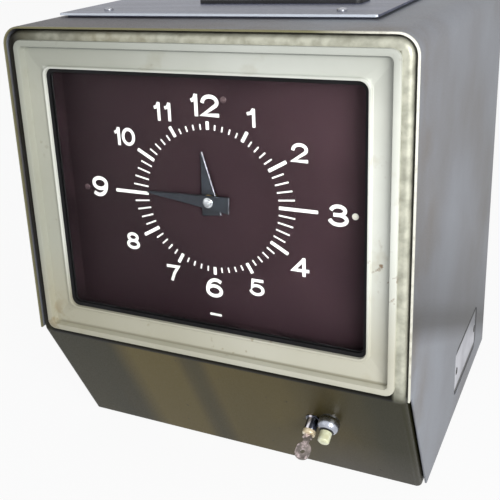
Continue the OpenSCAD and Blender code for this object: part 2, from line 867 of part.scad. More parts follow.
module lock_plug() {
    way_w = blade_w + 0.4;
    way_t = key_t + 0.3;
    color([0.78, 0.66, 0.40]) placed() at_lock() difference() {
        union() {
            rod_z(plug_r, -lock_in - 1, lock_out + 1, 0, 0);
            rotate_extrude() polygon([
                [0, lock_out + 0.1], [head_r, lock_out + 0.1], [head_r, head_out - 0.6],
                [head_r - 0.6, head_out], [0, head_out]
            ]);
        }
        block([-way_w / 2, -way_t / 2, -8], [way_w / 2, way_t / 2, head_out + cut]);
        rod_z(1.3, -lock_in - 2, -9, 0, 0);
    }
}

module lock_cam() {
    cam_t = 2;
    tip_r = 3.5;
    color([0.60, 0.60, 0.62]) placed() at_lock() translate([0, 0, -lock_in - 1 - cam_t]) difference() {
        union() {
            cylinder(r = 4.5, h = cam_t);
            translate([0, -tip_r, 0]) cube([cam_len - tip_r, 2 * tip_r, cam_t]);
            translate([cam_len - tip_r, 0, 0]) cylinder(r = tip_r, h = cam_t);
        }
        translate([0, 0, -cut]) cylinder(r = 1.3, h = cam_t + 2 * cut);
    }
}

module cam_screw() {
    color([0.66, 0.66, 0.68]) placed() at_lock() {
        rod_z(2.8, -lock_in - 4.8, -lock_in - 3, 0, 0);
        rod_z(1.3, -lock_in - 3, -lock_in + 4, 0, 0);
    }
}

module key() {
    shoulder = head_out + 0.4;
    color([0.78, 0.76, 0.72]) placed() at_lock() translate([0, key_t / 2, 0]) rotate([90, 0, 0])
        linear_extrude(height = key_t) difference() {
            union() {
                translate([0, bow_end - bow_len / 2]) round_rect(bow_w, bow_len, 4);
                translate([-blade_w / 2, -6]) square([blade_w, bow_end]);
                translate([-blade_w / 2 - 1, shoulder]) square([blade_w + 2, 2]);
            }
            translate([0, bow_end - 5]) circle(r = 1.6);
            for (i = [0 : 3]) translate([blade_w / 2 + 0.3, -4 + i * 3]) circle(r = 0.9 + 0.1 * (i % 3));
        }
}

// Catch plate on the base's front lip, just in front of the cam when it is turned down.
module lock_keeper() {
    wide = 18;
    keeper_t = 2;
    face = -lock_in - 0.5;
    color([0.50, 0.50, 0.52]) placed() {
        intersection() {
            at_lock() block([-wide / 2, -far, face], [wide / 2, -lock_body_r - 6, face + keeper_t]);
            block([0, -far / 2, base_top + lip_h - 3], [far, base_front, far]);
        }
        block([lock_x - wide / 2, base_front - keeper_t, base_top + 0.5],
              [lock_x + wide / 2, base_front, base_top + lip_h]);
    }
}

module door_knob() {
    round = 2.4;
    color([0.80, 0.81, 0.84]) placed() on_slope(knob_x, knob_s) difference() {
        rotate_extrude() polygon([
            [0, 0], [knob_r - 0.9, 0], [knob_r - 0.9, 0.8], [knob_r, 1.8],
            for (a = [0 : 15 : 90])
                [knob_r - round + round * cos(a), knob_out - round + round * sin(a)],
            [0, knob_out]
        ]);
        rod_z(shank_r + 0.1, -cut, knob_out + cut, 0, 0);
    }
}

// Headed stud that holds the knob, with its nut behind the door.
module knob_stud() {
    nut_t = 3;
    color([0.84, 0.80, 0.66]) placed() on_slope(knob_x, knob_s) {
        rotate_extrude() polygon([
            [0, -sheet - nut_t - 1], [shank_r, -sheet - nut_t - 1], [shank_r, knob_out], [stud_r, knob_out],
            for (a = [0 : 15 : 90])
                [stud_r - 1.4 + 1.4 * cos(a), stud_out - 1.4 + 1.4 * sin(a)],
            [0, stud_out]
        ]);
        translate([0, 0, -sheet - nut_t]) cylinder(r = 4.4, h = nut_t, $fn = 6);
    }
}

/* Dial and hands */

module dial() {
    color([0.22, 0.15, 0.17]) placed() difference() {
        from_y(dial_in, backing_y) translate([0, dial_z]) round_rect(dial_w, dial_h, 4);
        rod_y(hour_tube_r + 1.2, dial_in - cut, backing_y + cut, 0, dial_z);
        at_dial_screws() rod_y(1.1, dial_in - cut, backing_y + cut, 0, 0);
    }
}

module at_dial_screws() {
    side = dial_w / 2 - dial_screw_in;
    high = dial_h / 2 - 18.5;
    for (p = [[-side, 0], [side, 0], [11, high]]) translate([p[0], 0, dial_z + p[1]]) children();
}

module dial_backing() {
    turn_back = 5;
    y1 = backing_y + dial_t;
    color([0.07, 0.07, 0.07]) placed() difference() {
        from_y(backing_y, y1 + turn_back) translate([0, dial_z]) round_rect(backing_w, backing_h, 6);
        from_y(y1, y1 + turn_back + cut) translate([0, dial_z])
            round_rect(backing_w - 2 * dial_t, backing_h - 2 * dial_t, 6 - dial_t);
        rod_y(hour_tube_r + 1.2, dial_in, y1 + cut, 0, dial_z);
        at_dial_screws() rod_y(1.1, dial_in, y1 + cut, 0, 0);
    }
}

module dial_screws() {
    color([0.80, 0.78, 0.72]) placed() at_dial_screws() {
        rod_y(1.9, dial_in - 0.7, dial_in, 0, 0);
        rod_y(1.1, dial_in, backing_y + dial_t + 2, 0, 0);
        rod_y(2.4, backing_y + dial_t, backing_y + dial_t + 1.4, 0, 0);
    }
}

// A wedge hand that points to the given clock angle.
module hand(angle, len, tail, w, y, hole) {
    tip = 0.9;
    from_y(y, y + hand_t) translate([0, dial_z]) rotate(-angle) difference() {
        polygon([[-w / 2, -tail], [w / 2, -tail], [tip / 2, len], [-tip / 2, len]]);
        circle(r = hole);
    }
}

module minute_hand() {
    color([0.16, 0.18, 0.21]) placed()
        hand(shown_minute * 6, minute_len, minute_tail, minute_w, minute_hand_y, cannon_r);
}

module hour_hand() {
    color([0.16, 0.18, 0.21]) placed()
        hand(shown_hour * 30 + shown_minute / 2, hour_len, hour_tail, hour_w, hour_hand_y, hour_tube_r);
}

module hand_nut() {
    color([0.80, 0.80, 0.82]) placed() difference() {
        union() {
            rod_y(2.2, nut_y, minute_hand_y, 0, dial_z);
            rod_y(3.2, minute_hand_y - 0.7, minute_hand_y, 0, dial_z);
        }
        rod_y(arbor_r, nut_y + 0.5, minute_hand_y + cut, 0, dial_z);
    }
}

/* Clockwork */

module centre_arbor() {
    hub_r = 5;
    color([0.66, 0.66, 0.68]) placed() {
        rod_y(arbor_r, nut_y + 0.5, bevel_y + 1, 0, dial_z);
        rod_y(hub_r, bevel_y - 5, bevel_y, 0, dial_z);
        translate([0, bevel_y, dial_z]) rotate([-90, 0, 0])
            linear_extrude(height = bevel_face, scale = (bevel_r - bevel_face) / bevel_r)
                gear_outline(bevel_teeth, 2 * bevel_r / bevel_teeth);
    }
}

module cannon_pinion() {
    color([0.78, 0.66, 0.36]) placed() difference() {
        union() {
            rod_y(cannon_r, minute_hand_y, motion_y + 6.4, 0, dial_z);
            from_y(motion_y + 4.2, motion_y + 6.6) translate([0, dial_z]) rotate(motion_a)
                gear_outline(cannon_teeth, motion_module);
        }
        rod_y(arbor_r, minute_hand_y - cut, motion_y + 8, 0, dial_z);
    }
}

module at_minute_wheel() {
    translate([motion_d * cos(motion_a), 0, dial_z + motion_d * sin(motion_a)]) children();
}

module minute_wheel() {
    color([0.78, 0.66, 0.36]) placed() at_minute_wheel() difference() {
        union() {
            from_y(motion_y + 4.4, motion_y + 6.4)
                rotate(motion_a + 180 + 180 / minute_teeth) gear_outline(minute_teeth, motion_module);
            from_y(motion_y + 0.8, motion_y + 4.4)
                rotate(motion_a + 180) gear_outline(cannon_teeth, hour_module);
        }
        rod_y(1.5 + run_gap, motion_y, motion_y + 8, 0, 0);
    }
}

module hour_wheel() {
    color([0.78, 0.66, 0.36]) placed() difference() {
        union() {
            rod_y(hour_tube_r, hour_hand_y, motion_y + 3.4, 0, dial_z);
            from_y(motion_y + 1.4, motion_y + 3.4) translate([0, dial_z])
                rotate(motion_a + 180 / hour_teeth) gear_outline(hour_teeth, hour_module);
        }
        rod_y(cannon_r + run_gap, hour_hand_y - cut, motion_y + 5, 0, dial_z);
    }
}

module centre_wheel() {
    wheel_y = plate_a + plate_t + 4;
    window_r1 = 21;
    color([0.78, 0.66, 0.36]) placed() difference() {
        union() {
            from_y(wheel_y, wheel_y + 2) translate([0, dial_z]) rotate(motor_a) difference() {
                gear_outline(centre_teeth, drive_module);
                for (i = [0 : 3]) rotate(45 + i * 90) difference() {
                    circle(r = window_r1);
                    circle(r = 10);
                    translate([-far, -far]) square([far + 2, 2 * far]);
                    translate([-far, -far]) square([2 * far, far + 2]);
                }
            }
            rod_y(5, wheel_y - 2, wheel_y + 6, 0, dial_z);
        }
        rod_y(arbor_r, wheel_y - 4, wheel_y + 8, 0, dial_z);
    }
}

module movement_front_plate() {
    color([0.75, 0.73, 0.62]) placed() {
        difference() {
            from_y(plate_a, plate_a + plate_t) translate([0, dial_z]) round_rect(movement_w, movement_w, 6);
            rod_y(arbor_r + run_gap, plate_a - cut, plate_a + 4, 0, dial_z);
        }
        at_minute_wheel() rod_y(1.5, motion_y + 0.4, plate_a, 0, 0);
    }
}

module movement_back_plate() {
    h = movement_w;
    color([0.75, 0.73, 0.62]) placed() difference() {
        block([-frame_w / 2, plate_b, dial_z - h / 2], [frame_w / 2, plate_b_end, dial_z + h / 2]);
        rod_y(arbor_r + run_gap, plate_b - cut, plate_b_end + cut, 0, dial_z);
        at_motor() rod_y(3, plate_b - cut, plate_b_end + cut, 0, 0);
    }
}

// Turned posts between the two plates, and between the front plate and the dial's backing.
module pillars() {
    color([0.70, 0.66, 0.50]) placed()
        for (x = [-1, 1], z = [-1, 1]) {
            rod_y(pillar_r, plate_a + plate_t, plate_b, x * pillar_at, dial_z + z * pillar_at);
            rod_y(pillar_r, backing_y + dial_t, plate_a, x * pillar_at, dial_z + z * pillar_at);
        }
}

module at_motor() {
    translate([drive_d * cos(motor_a), 0, dial_z + drive_d * sin(motor_a)]) children();
}

module clock_motor() {
    ear = motor_r + 5;
    color([0.60, 0.60, 0.62]) placed() at_motor() difference() {
        union() {
            rod_y(motor_r, plate_b_end, plate_b_end + motor_len, 0, 0);
            block([-ear, plate_b_end, -5], [ear - 1.2, plate_b_end + 1.4, 5]);
            rod_y(8, plate_b_end + motor_len, plate_b_end + motor_len + 4, 0, 0);
        }
        rod_y(1.5 + run_gap, plate_b_end - cut, plate_b_end + 12, 0, 0);
    }
}

module motor_pinion() {
    wheel_y = plate_a + plate_t + 4;
    color([0.78, 0.66, 0.36]) placed() at_motor() {
        from_y(wheel_y - 1, wheel_y + 5)
            rotate(motor_a + 180 + 180 / cannon_teeth) gear_outline(cannon_teeth, drive_module);
        rod_y(1.5, wheel_y + 5, plate_b_end + 11, 0, 0);
    }
}

/* Printing unit */

module print_bracket() {
    h = spool_dz + 8;
    flange = 14;
    color([0.58, 0.58, 0.60]) placed() difference() {
        union() {
            block([bracket_x, plate_b_end, dial_z - h], [bracket_x + 2, type_y + 20, dial_z + h]);
            block([bracket_x, plate_b_end, dial_z - h], [bracket_x + flange, plate_b_end + 2, dial_z + h]);
        }
        rod_x(type_shaft_r + run_gap, bracket_x - cut, bracket_x + 3, type_y, dial_z);
        rod_x(2 + run_gap, bracket_x - cut, bracket_x + 3, type_y, dial_z + carry_d);
        for (s = [-1, 1])
            rod_x(2 + run_gap, bracket_x - cut, bracket_x + 3, spool_y, dial_z + s * spool_dz);
    }
}

module type_shaft() {
    color([0.66, 0.66, 0.68]) placed() {
        rod_x(type_shaft_r, bevel_r - bevel_face + 0.5, frame_w / 2 + frame_t + 2, type_y, dial_z);
        rod_x(5.4, bevel_r, bracket_x - 1.4, type_y, dial_z);
        translate([bevel_r, type_y, dial_z]) rotate([0, -90, 0])
            linear_extrude(height = bevel_face, scale = (bevel_r - bevel_face) / bevel_r)
                rotate(180 / bevel_teeth) gear_outline(bevel_teeth, 2 * bevel_r / bevel_teeth);
    }
}

// A wheel with one raised block of type for each value, and a ring gear beside it.
module type_wheel(x, values, bore) {
    low = type_r - 1;
    step = 360 / values;
    difference() {
        from_x(x, x + type_w) translate([type_y, dial_z]) polygon([
            for (i = [0 : values - 1], k = [[-0.34, low], [-0.28, type_r], [0.28, type_r], [0.34, low]])
                [k[1] * cos((i + k[0]) * step), k[1] * sin((i + k[0]) * step)]
        ]);
        rod_x(bore, x - cut, x + type_w + cut, type_y, dial_z);
        for (s = [0, 1])
            difference() {
                rod_x(type_r - 4, x + s * (type_w - 1.5) - (1 - s), x + 1.5 + s * (type_w - 0.5),
                      type_y, dial_z);
                rod_x(9, x - cut, x + type_w + cut, type_y, dial_z);
            }
    }
}

module minute_type_wheel() {
    color([0.50, 0.50, 0.53]) placed() {
        type_wheel(type_x[0], 60, type_shaft_r);
        difference() {
            from_x(type_x[0] - 4, type_x[0]) translate([type_y, dial_z])
                rotate(90) gear_outline(cannon_teeth, drive_module);
            rod_x(type_shaft_r, type_x[0] - 5, type_x[0] + cut, type_y, dial_z);
        }
    }
}

module hour_type_wheel() {
    bore = type_shaft_r + run_gap;
    color([0.50, 0.50, 0.53]) placed() {
        type_wheel(type_x[1], 24, bore);
        difference() {
            from_x(type_x[1] - 3, type_x[1]) translate([type_y, dial_z])
                rotate(90 + 180 / centre_teeth) gear_outline(centre_teeth, carry_module);
            rod_x(bore, type_x[1] - 4, type_x[1] + cut, type_y, dial_z);
        }
    }
}

module date_type_wheel() {
    bore = type_shaft_r + run_gap;
    color([0.50, 0.50, 0.53]) placed() {
        type_wheel(type_x[2], 31, bore);
        difference() {
            rod_x(6, type_x[2] + type_w, type_x[2] + type_w + 5, type_y, dial_z);
            rod_x(bore, type_x[2], type_x[2] + type_w + 6, type_y, dial_z);
        }
    }
}

// Lay gear that slows the minute wheel's turn down for the hour wheel.
module carry_gear() {
    z = dial_z + carry_d;
    x0 = type_x[0] - 3.6;
    color([0.78, 0.66, 0.36]) placed() {
        rod_x(2, bracket_x - 2, frame_w / 2 + frame_t + 2, type_y, z);
        difference() {
            from_x(x0, x0 + 3) translate([type_y, z])
                rotate(-90 + 180 / hour_teeth) gear_outline(hour_teeth, drive_module);
            rod_x(1, x0 - cut, x0 + 4, type_y, z);
        }
        from_x(type_x[1] - 3.6, type_x[1] - 0.4) translate([type_y, z])
            rotate(-90) gear_outline(cannon_teeth, carry_module);
    }
}

module ribbon_spool(z) {
    color([0.30, 0.30, 0.33]) placed() {
        rod_x(2, bracket_x - 2, frame_w / 2 + frame_t + 2, spool_y, z);
        for (x = [spool_x0, spool_x1 - 1.4]) rod_x(spool_r, x, x + 1.4, spool_y, z);
        rod_x(ribbon_roll_r, spool_x0, spool_x1, spool_y, z);
    }
}

module ribbon_spool_top() {
    ribbon_spool(dial_z + spool_dz);
}

module ribbon_spool_bottom() {
    ribbon_spool(dial_z - spool_dz);
}

module ink_ribbon() {
    color([0.12, 0.08, 0.20]) placed()
        block([spool_x0 + 1.8, ribbon_y, dial_z - spool_dz],
              [spool_x1 - 1.8, ribbon_y + ribbon_t, dial_z + spool_dz]);
}

// The two sheets that hold the card, with windows for type and hammer.
module card_guides() {
    top = rear_guide_top();
    side = throat_w / 2 + 1;
    rear = rear_guide_y + guide_t;
    color([0.66, 0.67, 0.70]) placed() difference() {
        union() {
            block([-frame_w / 2, guide_y, guide_low], [frame_w / 2, card_y, top]);
            block([card_x - side - guide_t, rear_guide_y, guide_low], [card_x + side + guide_t, rear, top]);
            for (s = [-1, 1]) {
                x = card_x + s * (side + guide_t / 2);
                block([x - guide_t / 2, card_y, guide_low], [x + guide_t / 2, rear_guide_y, top]);
            }
            block([stop_x - 6, rear, guide_low], [stop_x + 6, rear + 9, guide_low + 3]);
            block([stop_x - 6, rear, dial_z + 40], [stop_x + 6, rear + 9, dial_z + 43]);
            rod_z(2.4, guide_low, dial_z + 43, stop_x, rear + 5);
        }
        block([type_x[0] - 1.4, guide_y - cut, dial_z - print_window],
              [type_x[2] + type_w + 1.4, rear + cut, dial_z + print_window]);
        block([stop_x - 2, rear_guide_y - cut, guide_low + 3.5], [stop_x + 2, rear + 0.4, dial_z + 36]);
    }
}

// Ledge that carries the foot of the card and slides on its rod.
module card_stop() {
    rear = rear_guide_y + guide_t;
    color([0.74, 0.70, 0.58]) placed() difference() {
        union() {
            block([stop_x - 1.6, card_y + 0.3, stop_z], [stop_x + 1.6, rear + 1, stop_z + 5]);
            block([stop_x - 5, rear + 0.5, stop_z], [stop_x + 5, rear + 9.4, stop_z + 10]);
        }
        rod_z(2.4 + run_gap, stop_z - cut, stop_z + 11, stop_x, rear + 5);
    }
}

module print_hammer() {
    face_y = rear_guide_y + guide_t + 1.6;
    arm = 5;
    color([0.56, 0.56, 0.58]) placed() difference() {
        union() {
            block([hammer_x0, face_y, dial_z - 6], [hammer_x1, hammer_y + 3, dial_z + 6]);
            block([hammer_mid - arm, hammer_y - 3, hammer_z - hammer_tail - 5],
                  [hammer_mid + arm, hammer_y + 3, dial_z]);
            rod_x(6, hammer_mid - 10, hammer_mid + 10, hammer_y, hammer_z);
        }
        rod_x(hammer_shaft_r + run_gap, hammer_x0, hammer_x1, hammer_y, hammer_z);
    }
}

module print_solenoid() {
    z = hammer_z - hammer_tail;
    y = cross_y + plate_t;
    yoke_t = 2;
    color([0.30, 0.30, 0.32]) placed() difference() {
        union() {
            translate([hammer_mid, y, z]) difference() {
                block([-solenoid_w / 2, 0, -solenoid_h / 2], [solenoid_w / 2, solenoid_d, solenoid_h / 2]);
                block([-far, yoke_t, yoke_t - solenoid_h / 2],
                      [far, solenoid_d - yoke_t, solenoid_h / 2 - yoke_t]);
            }
            rod_y(solenoid_h / 2 - yoke_t - 1, y + yoke_t, y + solenoid_d - yoke_t, hammer_mid, z);
        }
        rod_y(plunger_r + run_gap, y - cut, y + solenoid_d - 4, hammer_mid, z);
    }
}

module solenoid_plunger() {
    z = hammer_z - hammer_tail;
    y = hammer_y + 3.4;
    color([0.70, 0.70, 0.72]) placed() {
        rod_y(1.5, y, y + 3, hammer_mid, z);
        rod_y(plunger_r, y + 3, cross_y + plate_t + solenoid_d - 10, hammer_mid, z);
    }
}

/* Inner frame: two side plates, spacers, the hammer's shaft and the solenoid's cross plate. */

module frame_view() {
    front_low = base_front + 6;
    step_z = bend_h + 12;
    polygon([
        [front_low, base_top], [frame_back, base_top], [frame_back, frame_h],
        [plate_b - 4, frame_h], [plate_b - 4, step_z], [front_low, step_z]
    ]);
}

module at_frame_screws() {
    for (x = [-1, 1], y = [base_front + 22, frame_back - 16])
        translate([x * (frame_w / 2 + frame_t + 7), y, 0]) children();
}

module inner_frame() {
    half = frame_w / 2;
    foot = 14;
    cross_h = 36;
    color([0.50, 0.52, 0.55]) placed() {
        for (s = [-1, 1]) difference() {
            union() {
                from_x(min(s * half, s * (half + frame_t)), max(s * half, s * (half + frame_t)))
                    frame_view();
                block([min(s * half, s * (half + foot)), base_front + 6, base_top],
                      [max(s * half, s * (half + foot)), frame_back, base_top + frame_t]);
            }
            for (z = [dial_z - spool_dz, dial_z + spool_dz])
                rod_x(2 + run_gap, half - cut, half + 10, spool_y, z);
            rod_x(2 + run_gap, half - cut, half + 10, type_y, dial_z + carry_d);
            rod_x(type_shaft_r + run_gap, half - cut, half + 10, type_y, dial_z);
            at_frame_screws() rod_z(frame_screw_r, base_z, base_top + 4, 0, 0);
        }
        rod_x(hammer_shaft_r, -half, half, hammer_y, hammer_z);
        for (p = [[frame_back - 8, frame_h - 10], [frame_back - 8, base_top + 14],
                  [plate_b + 8, frame_h - 8]])
            rod_x(pillar_r, -half, half, p[0], p[1]);
        translate([0, 0, hammer_z - hammer_tail]) difference() {
            block([-half, cross_y, -cross_h / 2], [half, cross_y + plate_t, cross_h / 2]);
            rod_y(plunger_r + 1, cross_y - cut, cross_y + plate_t + cut, hammer_mid, 0);
        }
        at_frame_screws() {
            rod_z(small_head_r, base_top + frame_t, base_top + frame_t + 1.8, 0, 0);
            rod_z(frame_screw_r, base_z, base_top + frame_t, 0, 0);
        }
    }
}

// Transformer, terminal block and the cord bushing in the back plate.
module power_unit() {
    rear = back_y - 8;
    base_t = 4;
    color([0.25, 0.25, 0.27]) placed() {
        translate([-37, rear - power_d / 2, base_top]) {
            core_w = power_w - 8;
            core_d = power_d - 12;
            coil_w = power_w - 24;
            block([-power_w / 2, -power_d / 2, 0], [power_w / 2, power_d / 2, base_t]);
            block([-core_w / 2, -core_d / 2, base_t], [core_w / 2, core_d / 2, power_h]);
            block([-coil_w / 2, -power_d / 2, base_t + 6], [coil_w / 2, power_d / 2, power_h - 6]);
        }
        translate([38, rear - 4 - terminal_d / 2, base_top]) difference() {
            pitch = terminal_w * 3 / 16;
            block([-terminal_w / 2, -terminal_d / 2, 0], [terminal_w / 2, terminal_d / 2, terminal_h]);
            for (i = [-2 : 2]) rod_z(2.4, terminal_h - 6, terminal_h + cut, i * pitch, 0);
        }
        at_gland() difference() {
            union() {
                rod_y(2 * gland_r + 2.8, back_y + plate_t, back_y + plate_t + 2.6, 0, 0);
                rod_y(2 * gland_r, back_y - 12, back_y + plate_t, 0, 0);
                rod_y(2 * gland_r + 3.3, back_y - 5, back_y, 0, 0);
            }
            rod_y(gland_r, back_y - 13, back_y + plate_t + 4, 0, 0);
        }
    }
}

hood();
base_plate();
back_plate();
rubber_feet();
case_screws();
side_plate();
side_plate_screws();
top_plate();
top_plate_screws();
card_throat();
door();
case_hinge_arms();
door_hinge_eyes();
hinge_pins();
bezel();
bezel_clips();
crystal();
crystal_gasket();
crystal_retainer();
lock_body();
lock_nut();
lock_plug();
lock_cam();
cam_screw();
key();
lock_keeper();
door_knob();
knob_stud();
dial();
dial_backing();
dial_screws();
minute_hand();
hour_hand();
hand_nut();
centre_arbor();
cannon_pinion();
minute_wheel();
hour_wheel();
centre_wheel();
movement_front_plate();
movement_back_plate();
pillars();
clock_motor();
motor_pinion();
print_bracket();
type_shaft();
minute_type_wheel();
hour_type_wheel();
date_type_wheel();
carry_gear();
ribbon_spool_top();
ribbon_spool_bottom();
ink_ribbon();
card_guides();
card_stop();
print_hammer();
print_solenoid();
solenoid_plunger();
inner_frame();
power_unit();
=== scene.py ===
import math

import bmesh
import bpy
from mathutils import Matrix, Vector


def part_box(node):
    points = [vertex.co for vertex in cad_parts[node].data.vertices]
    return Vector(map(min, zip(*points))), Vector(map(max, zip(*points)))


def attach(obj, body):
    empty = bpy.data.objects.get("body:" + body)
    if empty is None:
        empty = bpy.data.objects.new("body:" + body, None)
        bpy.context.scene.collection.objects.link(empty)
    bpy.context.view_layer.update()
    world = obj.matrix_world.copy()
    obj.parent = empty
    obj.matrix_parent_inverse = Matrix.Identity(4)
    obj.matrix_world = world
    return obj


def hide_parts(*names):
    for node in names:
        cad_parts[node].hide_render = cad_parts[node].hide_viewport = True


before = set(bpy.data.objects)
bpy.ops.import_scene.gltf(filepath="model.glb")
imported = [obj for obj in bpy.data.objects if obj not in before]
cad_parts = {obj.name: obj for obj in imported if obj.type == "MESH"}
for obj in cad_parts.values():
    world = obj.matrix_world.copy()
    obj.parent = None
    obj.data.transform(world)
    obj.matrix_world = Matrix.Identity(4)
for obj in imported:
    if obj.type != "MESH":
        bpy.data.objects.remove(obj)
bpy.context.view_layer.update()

# Hood: one sheet of steel bent over both sides and the top, with round upper corners, turned
# in at the bottom and sprayed in a metallic grey. Its front edge is ground bare and carries a
# painted highlight at its right-hand end. All lengths in this script are millimetres from the
# door's front and the case's foot.
front_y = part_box("door")[0].y
case_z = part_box("hood")[0].z
sheet = 1.2
hood_w = 250
hood_h = 291.8
hood_d = 257
hood_round = 11.5
bend_z = 91
slope_back = 48
slope_lean = math.atan2(slope_back, bend_z)
edge_back = 5 / math.cos(slope_lean)
flange_in = 10
flange_y = (60.05, 250)
card_slot_x, card_slot_y, card_slot_round = (-36, 64), (97, 111), 2
rear_screw_x, rear_screw_z = 116.8, (98.8, 258.8)
tab_in, tab_half = 14, 7


def at(x, y, z):
    """A place in millimetres, to the right, back from the door's front and up from the case's foot."""
    return Vector((x / 1000, front_y + y / 1000, case_z + z / 1000))


def in_mm(place):
    """The same place as at() takes, read back off the work."""
    return Vector((place.x * 1000, (place.y - front_y) * 1000, (place.z - case_z) * 1000))


def take(piece):
    """Puts down what is in hand and takes up this piece alone."""
    if bpy.context.object and bpy.context.object.mode != "OBJECT":
        bpy.ops.object.mode_set(mode="OBJECT")
    bpy.ops.object.select_all(action="DESELECT")
    bpy.context.view_layer.objects.active = piece
    piece.select_set(True)


def stock(name, x, y, z):
    """A block sawn from one value to another each way."""
    bpy.ops.object.select_all(action="DESELECT")
    bpy.ops.mesh.primitive_cube_add(size=1, location=at(sum(x) / 2, sum(y) / 2, sum(z) / 2))
    block = bpy.context.object
    block.name = name
    block.scale = ((x[1] - x[0]) / 1000, (y[1] - y[0]) / 1000, (z[1] - z[0]) / 1000)
    bpy.ops.object.transform_apply()
    return block


def mark_out(kind, wanted):
    """Picks the faces, edges or corners of the piece in hand whose middle and direction suit."""
    bpy.ops.object.mode_set(mode="EDIT")
    bpy.ops.mesh.select_mode(type=kind)
    bpy.ops.mesh.select_all(action="DESELECT")
    work = bmesh.from_edit_mesh(bpy.context.object.data)
    if kind == "FACE":
        found = [(f, f.calc_center_median(), f.normal) for f in work.faces]
    elif kind == "EDGE":
        found = [(e, (e.verts[0].co + e.verts[1].co) / 2, (e.verts[1].co - e.verts[0].co).normalized())
                 for e in work.edges]
    else:
        found = [(v, v.co, v.normal) for v in work.verts]
    for part, middle, way in found:
        if wanted(in_mm(middle), way):
            part.select_set(True)
    bmesh.update_edit_mesh(bpy.context.object.data)


def round_off(wanted, radius, steps=8):
    """Rounds the edges of the piece in hand whose middle and direction suit."""
    mark_out("EDGE", wanted)
    bpy.ops.mesh.bevel(offset=radius / 1000, segments=steps, affect="EDGES")
    bpy.ops.object.mode_set(mode="OBJECT")


def draw_out(x, y, z):
    """Draws what is picked out of the piece in hand, by so much each way."""
    bpy.ops.mesh.extrude_region_move(TRANSFORM_OT_translate={"value": (x / 1000, y / 1000, z / 1000)})


def machine(piece, kind, **settings):
    """One pass of a modifier over the piece, applied at once."""
    take(piece)
    modifier = piece.modifiers.new(kind.title(), kind)
    for setting, value in settings.items():
        setattr(modifier, setting, value)
    bpy.ops.object.modifier_apply(modifier=modifier.name)


def cut_out(piece, *shapes):
    """Cuts the shapes out of the piece and throws them away."""
    for shape in shapes:
        machine(piece, "BOOLEAN", object=shape, operation="DIFFERENCE", solver="EXACT")
        bpy.data.objects.remove(shape)


def join_up(name, pieces):
    """Makes one piece of several."""
    take(pieces[0])
    for piece in pieces:
        piece.select_set(True)
    bpy.ops.object.join()
    bpy.context.object.name = name
    return bpy.context.object


def break_edges(piece, width, turn=35):
    """Takes the sharpness off every edge, and shades the rounds smoothly."""
    machine(piece, "BEVEL", width=width / 1000, segments=2, limit_method="ANGLE",
            angle_limit=math.radians(turn), use_clamp_overlap=True)
    take(piece)
    bpy.ops.object.shade_smooth_by_angle(angle=math.radians(turn))
    machine(piece, "WEIGHTED_NORMAL", keep_sharp=True, weight=100)


def rounded_bar(name, x, y, z, radius, way, steps=8):
    """A bar with four rounded edges that run along X, Y or Z."""
    bar = stock(name, x, y, z)
    round_off(lambda middle, line: abs(line["XYZ".index(way)]) > 0.9, radius, steps)
    return bar


def rounded_cutter(x, y, z, radius, way):
    """The same bar, for cutting its shape out of a piece."""
    return rounded_bar("cutter", x, y, z, radius, way)


def tint(red, green, blue):
    """A colour as it is read off a swatch in steps of 255, made linear."""
    steps = [value / 255 for value in (red, green, blue)]
    return tuple(v / 12.92 if v <= 0.04045 else ((v + 0.055) / 1.055) ** 2.4 for v in steps) + (1,)


def wire(tree, kind, sockets, out=0, **settings):
    """Adds a node, each socket set to a value or joined to another node, and gives one output."""
    node = tree.nodes.new("ShaderNode" + kind)
    for setting, value in settings.items():
        setattr(node, setting, value)
    for socket, value in sockets.items():
        if isinstance(value, bpy.types.NodeSocket):
            tree.links.new(value, node.inputs[socket])
        else:
            node.inputs[socket].default_value = value
    return node.outputs[out]


def place_on(material, kind, out, **settings):
    """A node that reads the place on the piece."""
    place = wire(material.node_tree, "TexCoord", {}, "Object")
    return wire(material.node_tree, kind, {"Vector": place, **settings}, out)


def read_off(value, stops):
    """The colour read off a scale that is drawn through (value, colour) stops."""
    scale = wire(value.id_data, "ValToRGB", {"Fac": value})
    marks = scale.node.color_ramp.elements
    while len(marks) < len(stops):
        marks.new(0.5)
    for mark, (position, colour) in zip(marks, stops):
        mark.position = position
        mark.color = colour
    return scale


def finish_of(name, tones, patch=14, rough=(0.4, 0.5), metal=0.0, shine=0.5, grain=0.1, grit=1200,
              stretch=(1, 1, 1)):
    """A finish whose tone wanders in patches, with a fine grain in its gloss and its surface."""
    material = bpy.data.materials.new(name)
    material.use_nodes = True
    tree = material.node_tree
    shader = tree.nodes["Principled BSDF"]
    shader.inputs["Metallic"].default_value = metal
    shader.inputs["Specular IOR Level"].default_value = shine
    pulled = place_on(material, "Mapping", "Vector", Scale=stretch)
    cloud = wire(tree, "TexNoise", {"Vector": pulled, "Scale": patch, "Detail": 6}, "Fac")
    fine = wire(tree, "TexNoise", {"Vector": pulled, "Scale": grit, "Detail": 3}, "Fac")
    first, spread = 0.34, 0.32
    tone = read_off(cloud, [(first + spread * i / (len(tones) - 1), tint(*tones[i]))
                            for i in range(len(tones))])
    gloss = wire(tree, "MapRange", {"Value": fine, "From Min": 0.3, "From Max": 0.7,
                                    "To Min": rough[0], "To Max": rough[1]})
    relief = wire(tree, "Bump", {"Height": fine, "Strength": grain, "Distance": 0.0002})
    for socket, value in (("Base Color", tone), ("Roughness", gloss), ("Normal", relief)):
        tree.links.new(value, shader.inputs[socket])
    return material


def along(material, axis, start, end):
    """A value that goes from 0 to 1 as the place goes from start to end along X, Y or Z."""
    zero = at(0, 0, 0)["XYZ".index(axis)]
    return wire(material.node_tree, "MapRange", {
        "Value": place_on(material, "SeparateXYZ", axis),
        "From Min": zero + start / 1000, "From Max": zero + end / 1000})


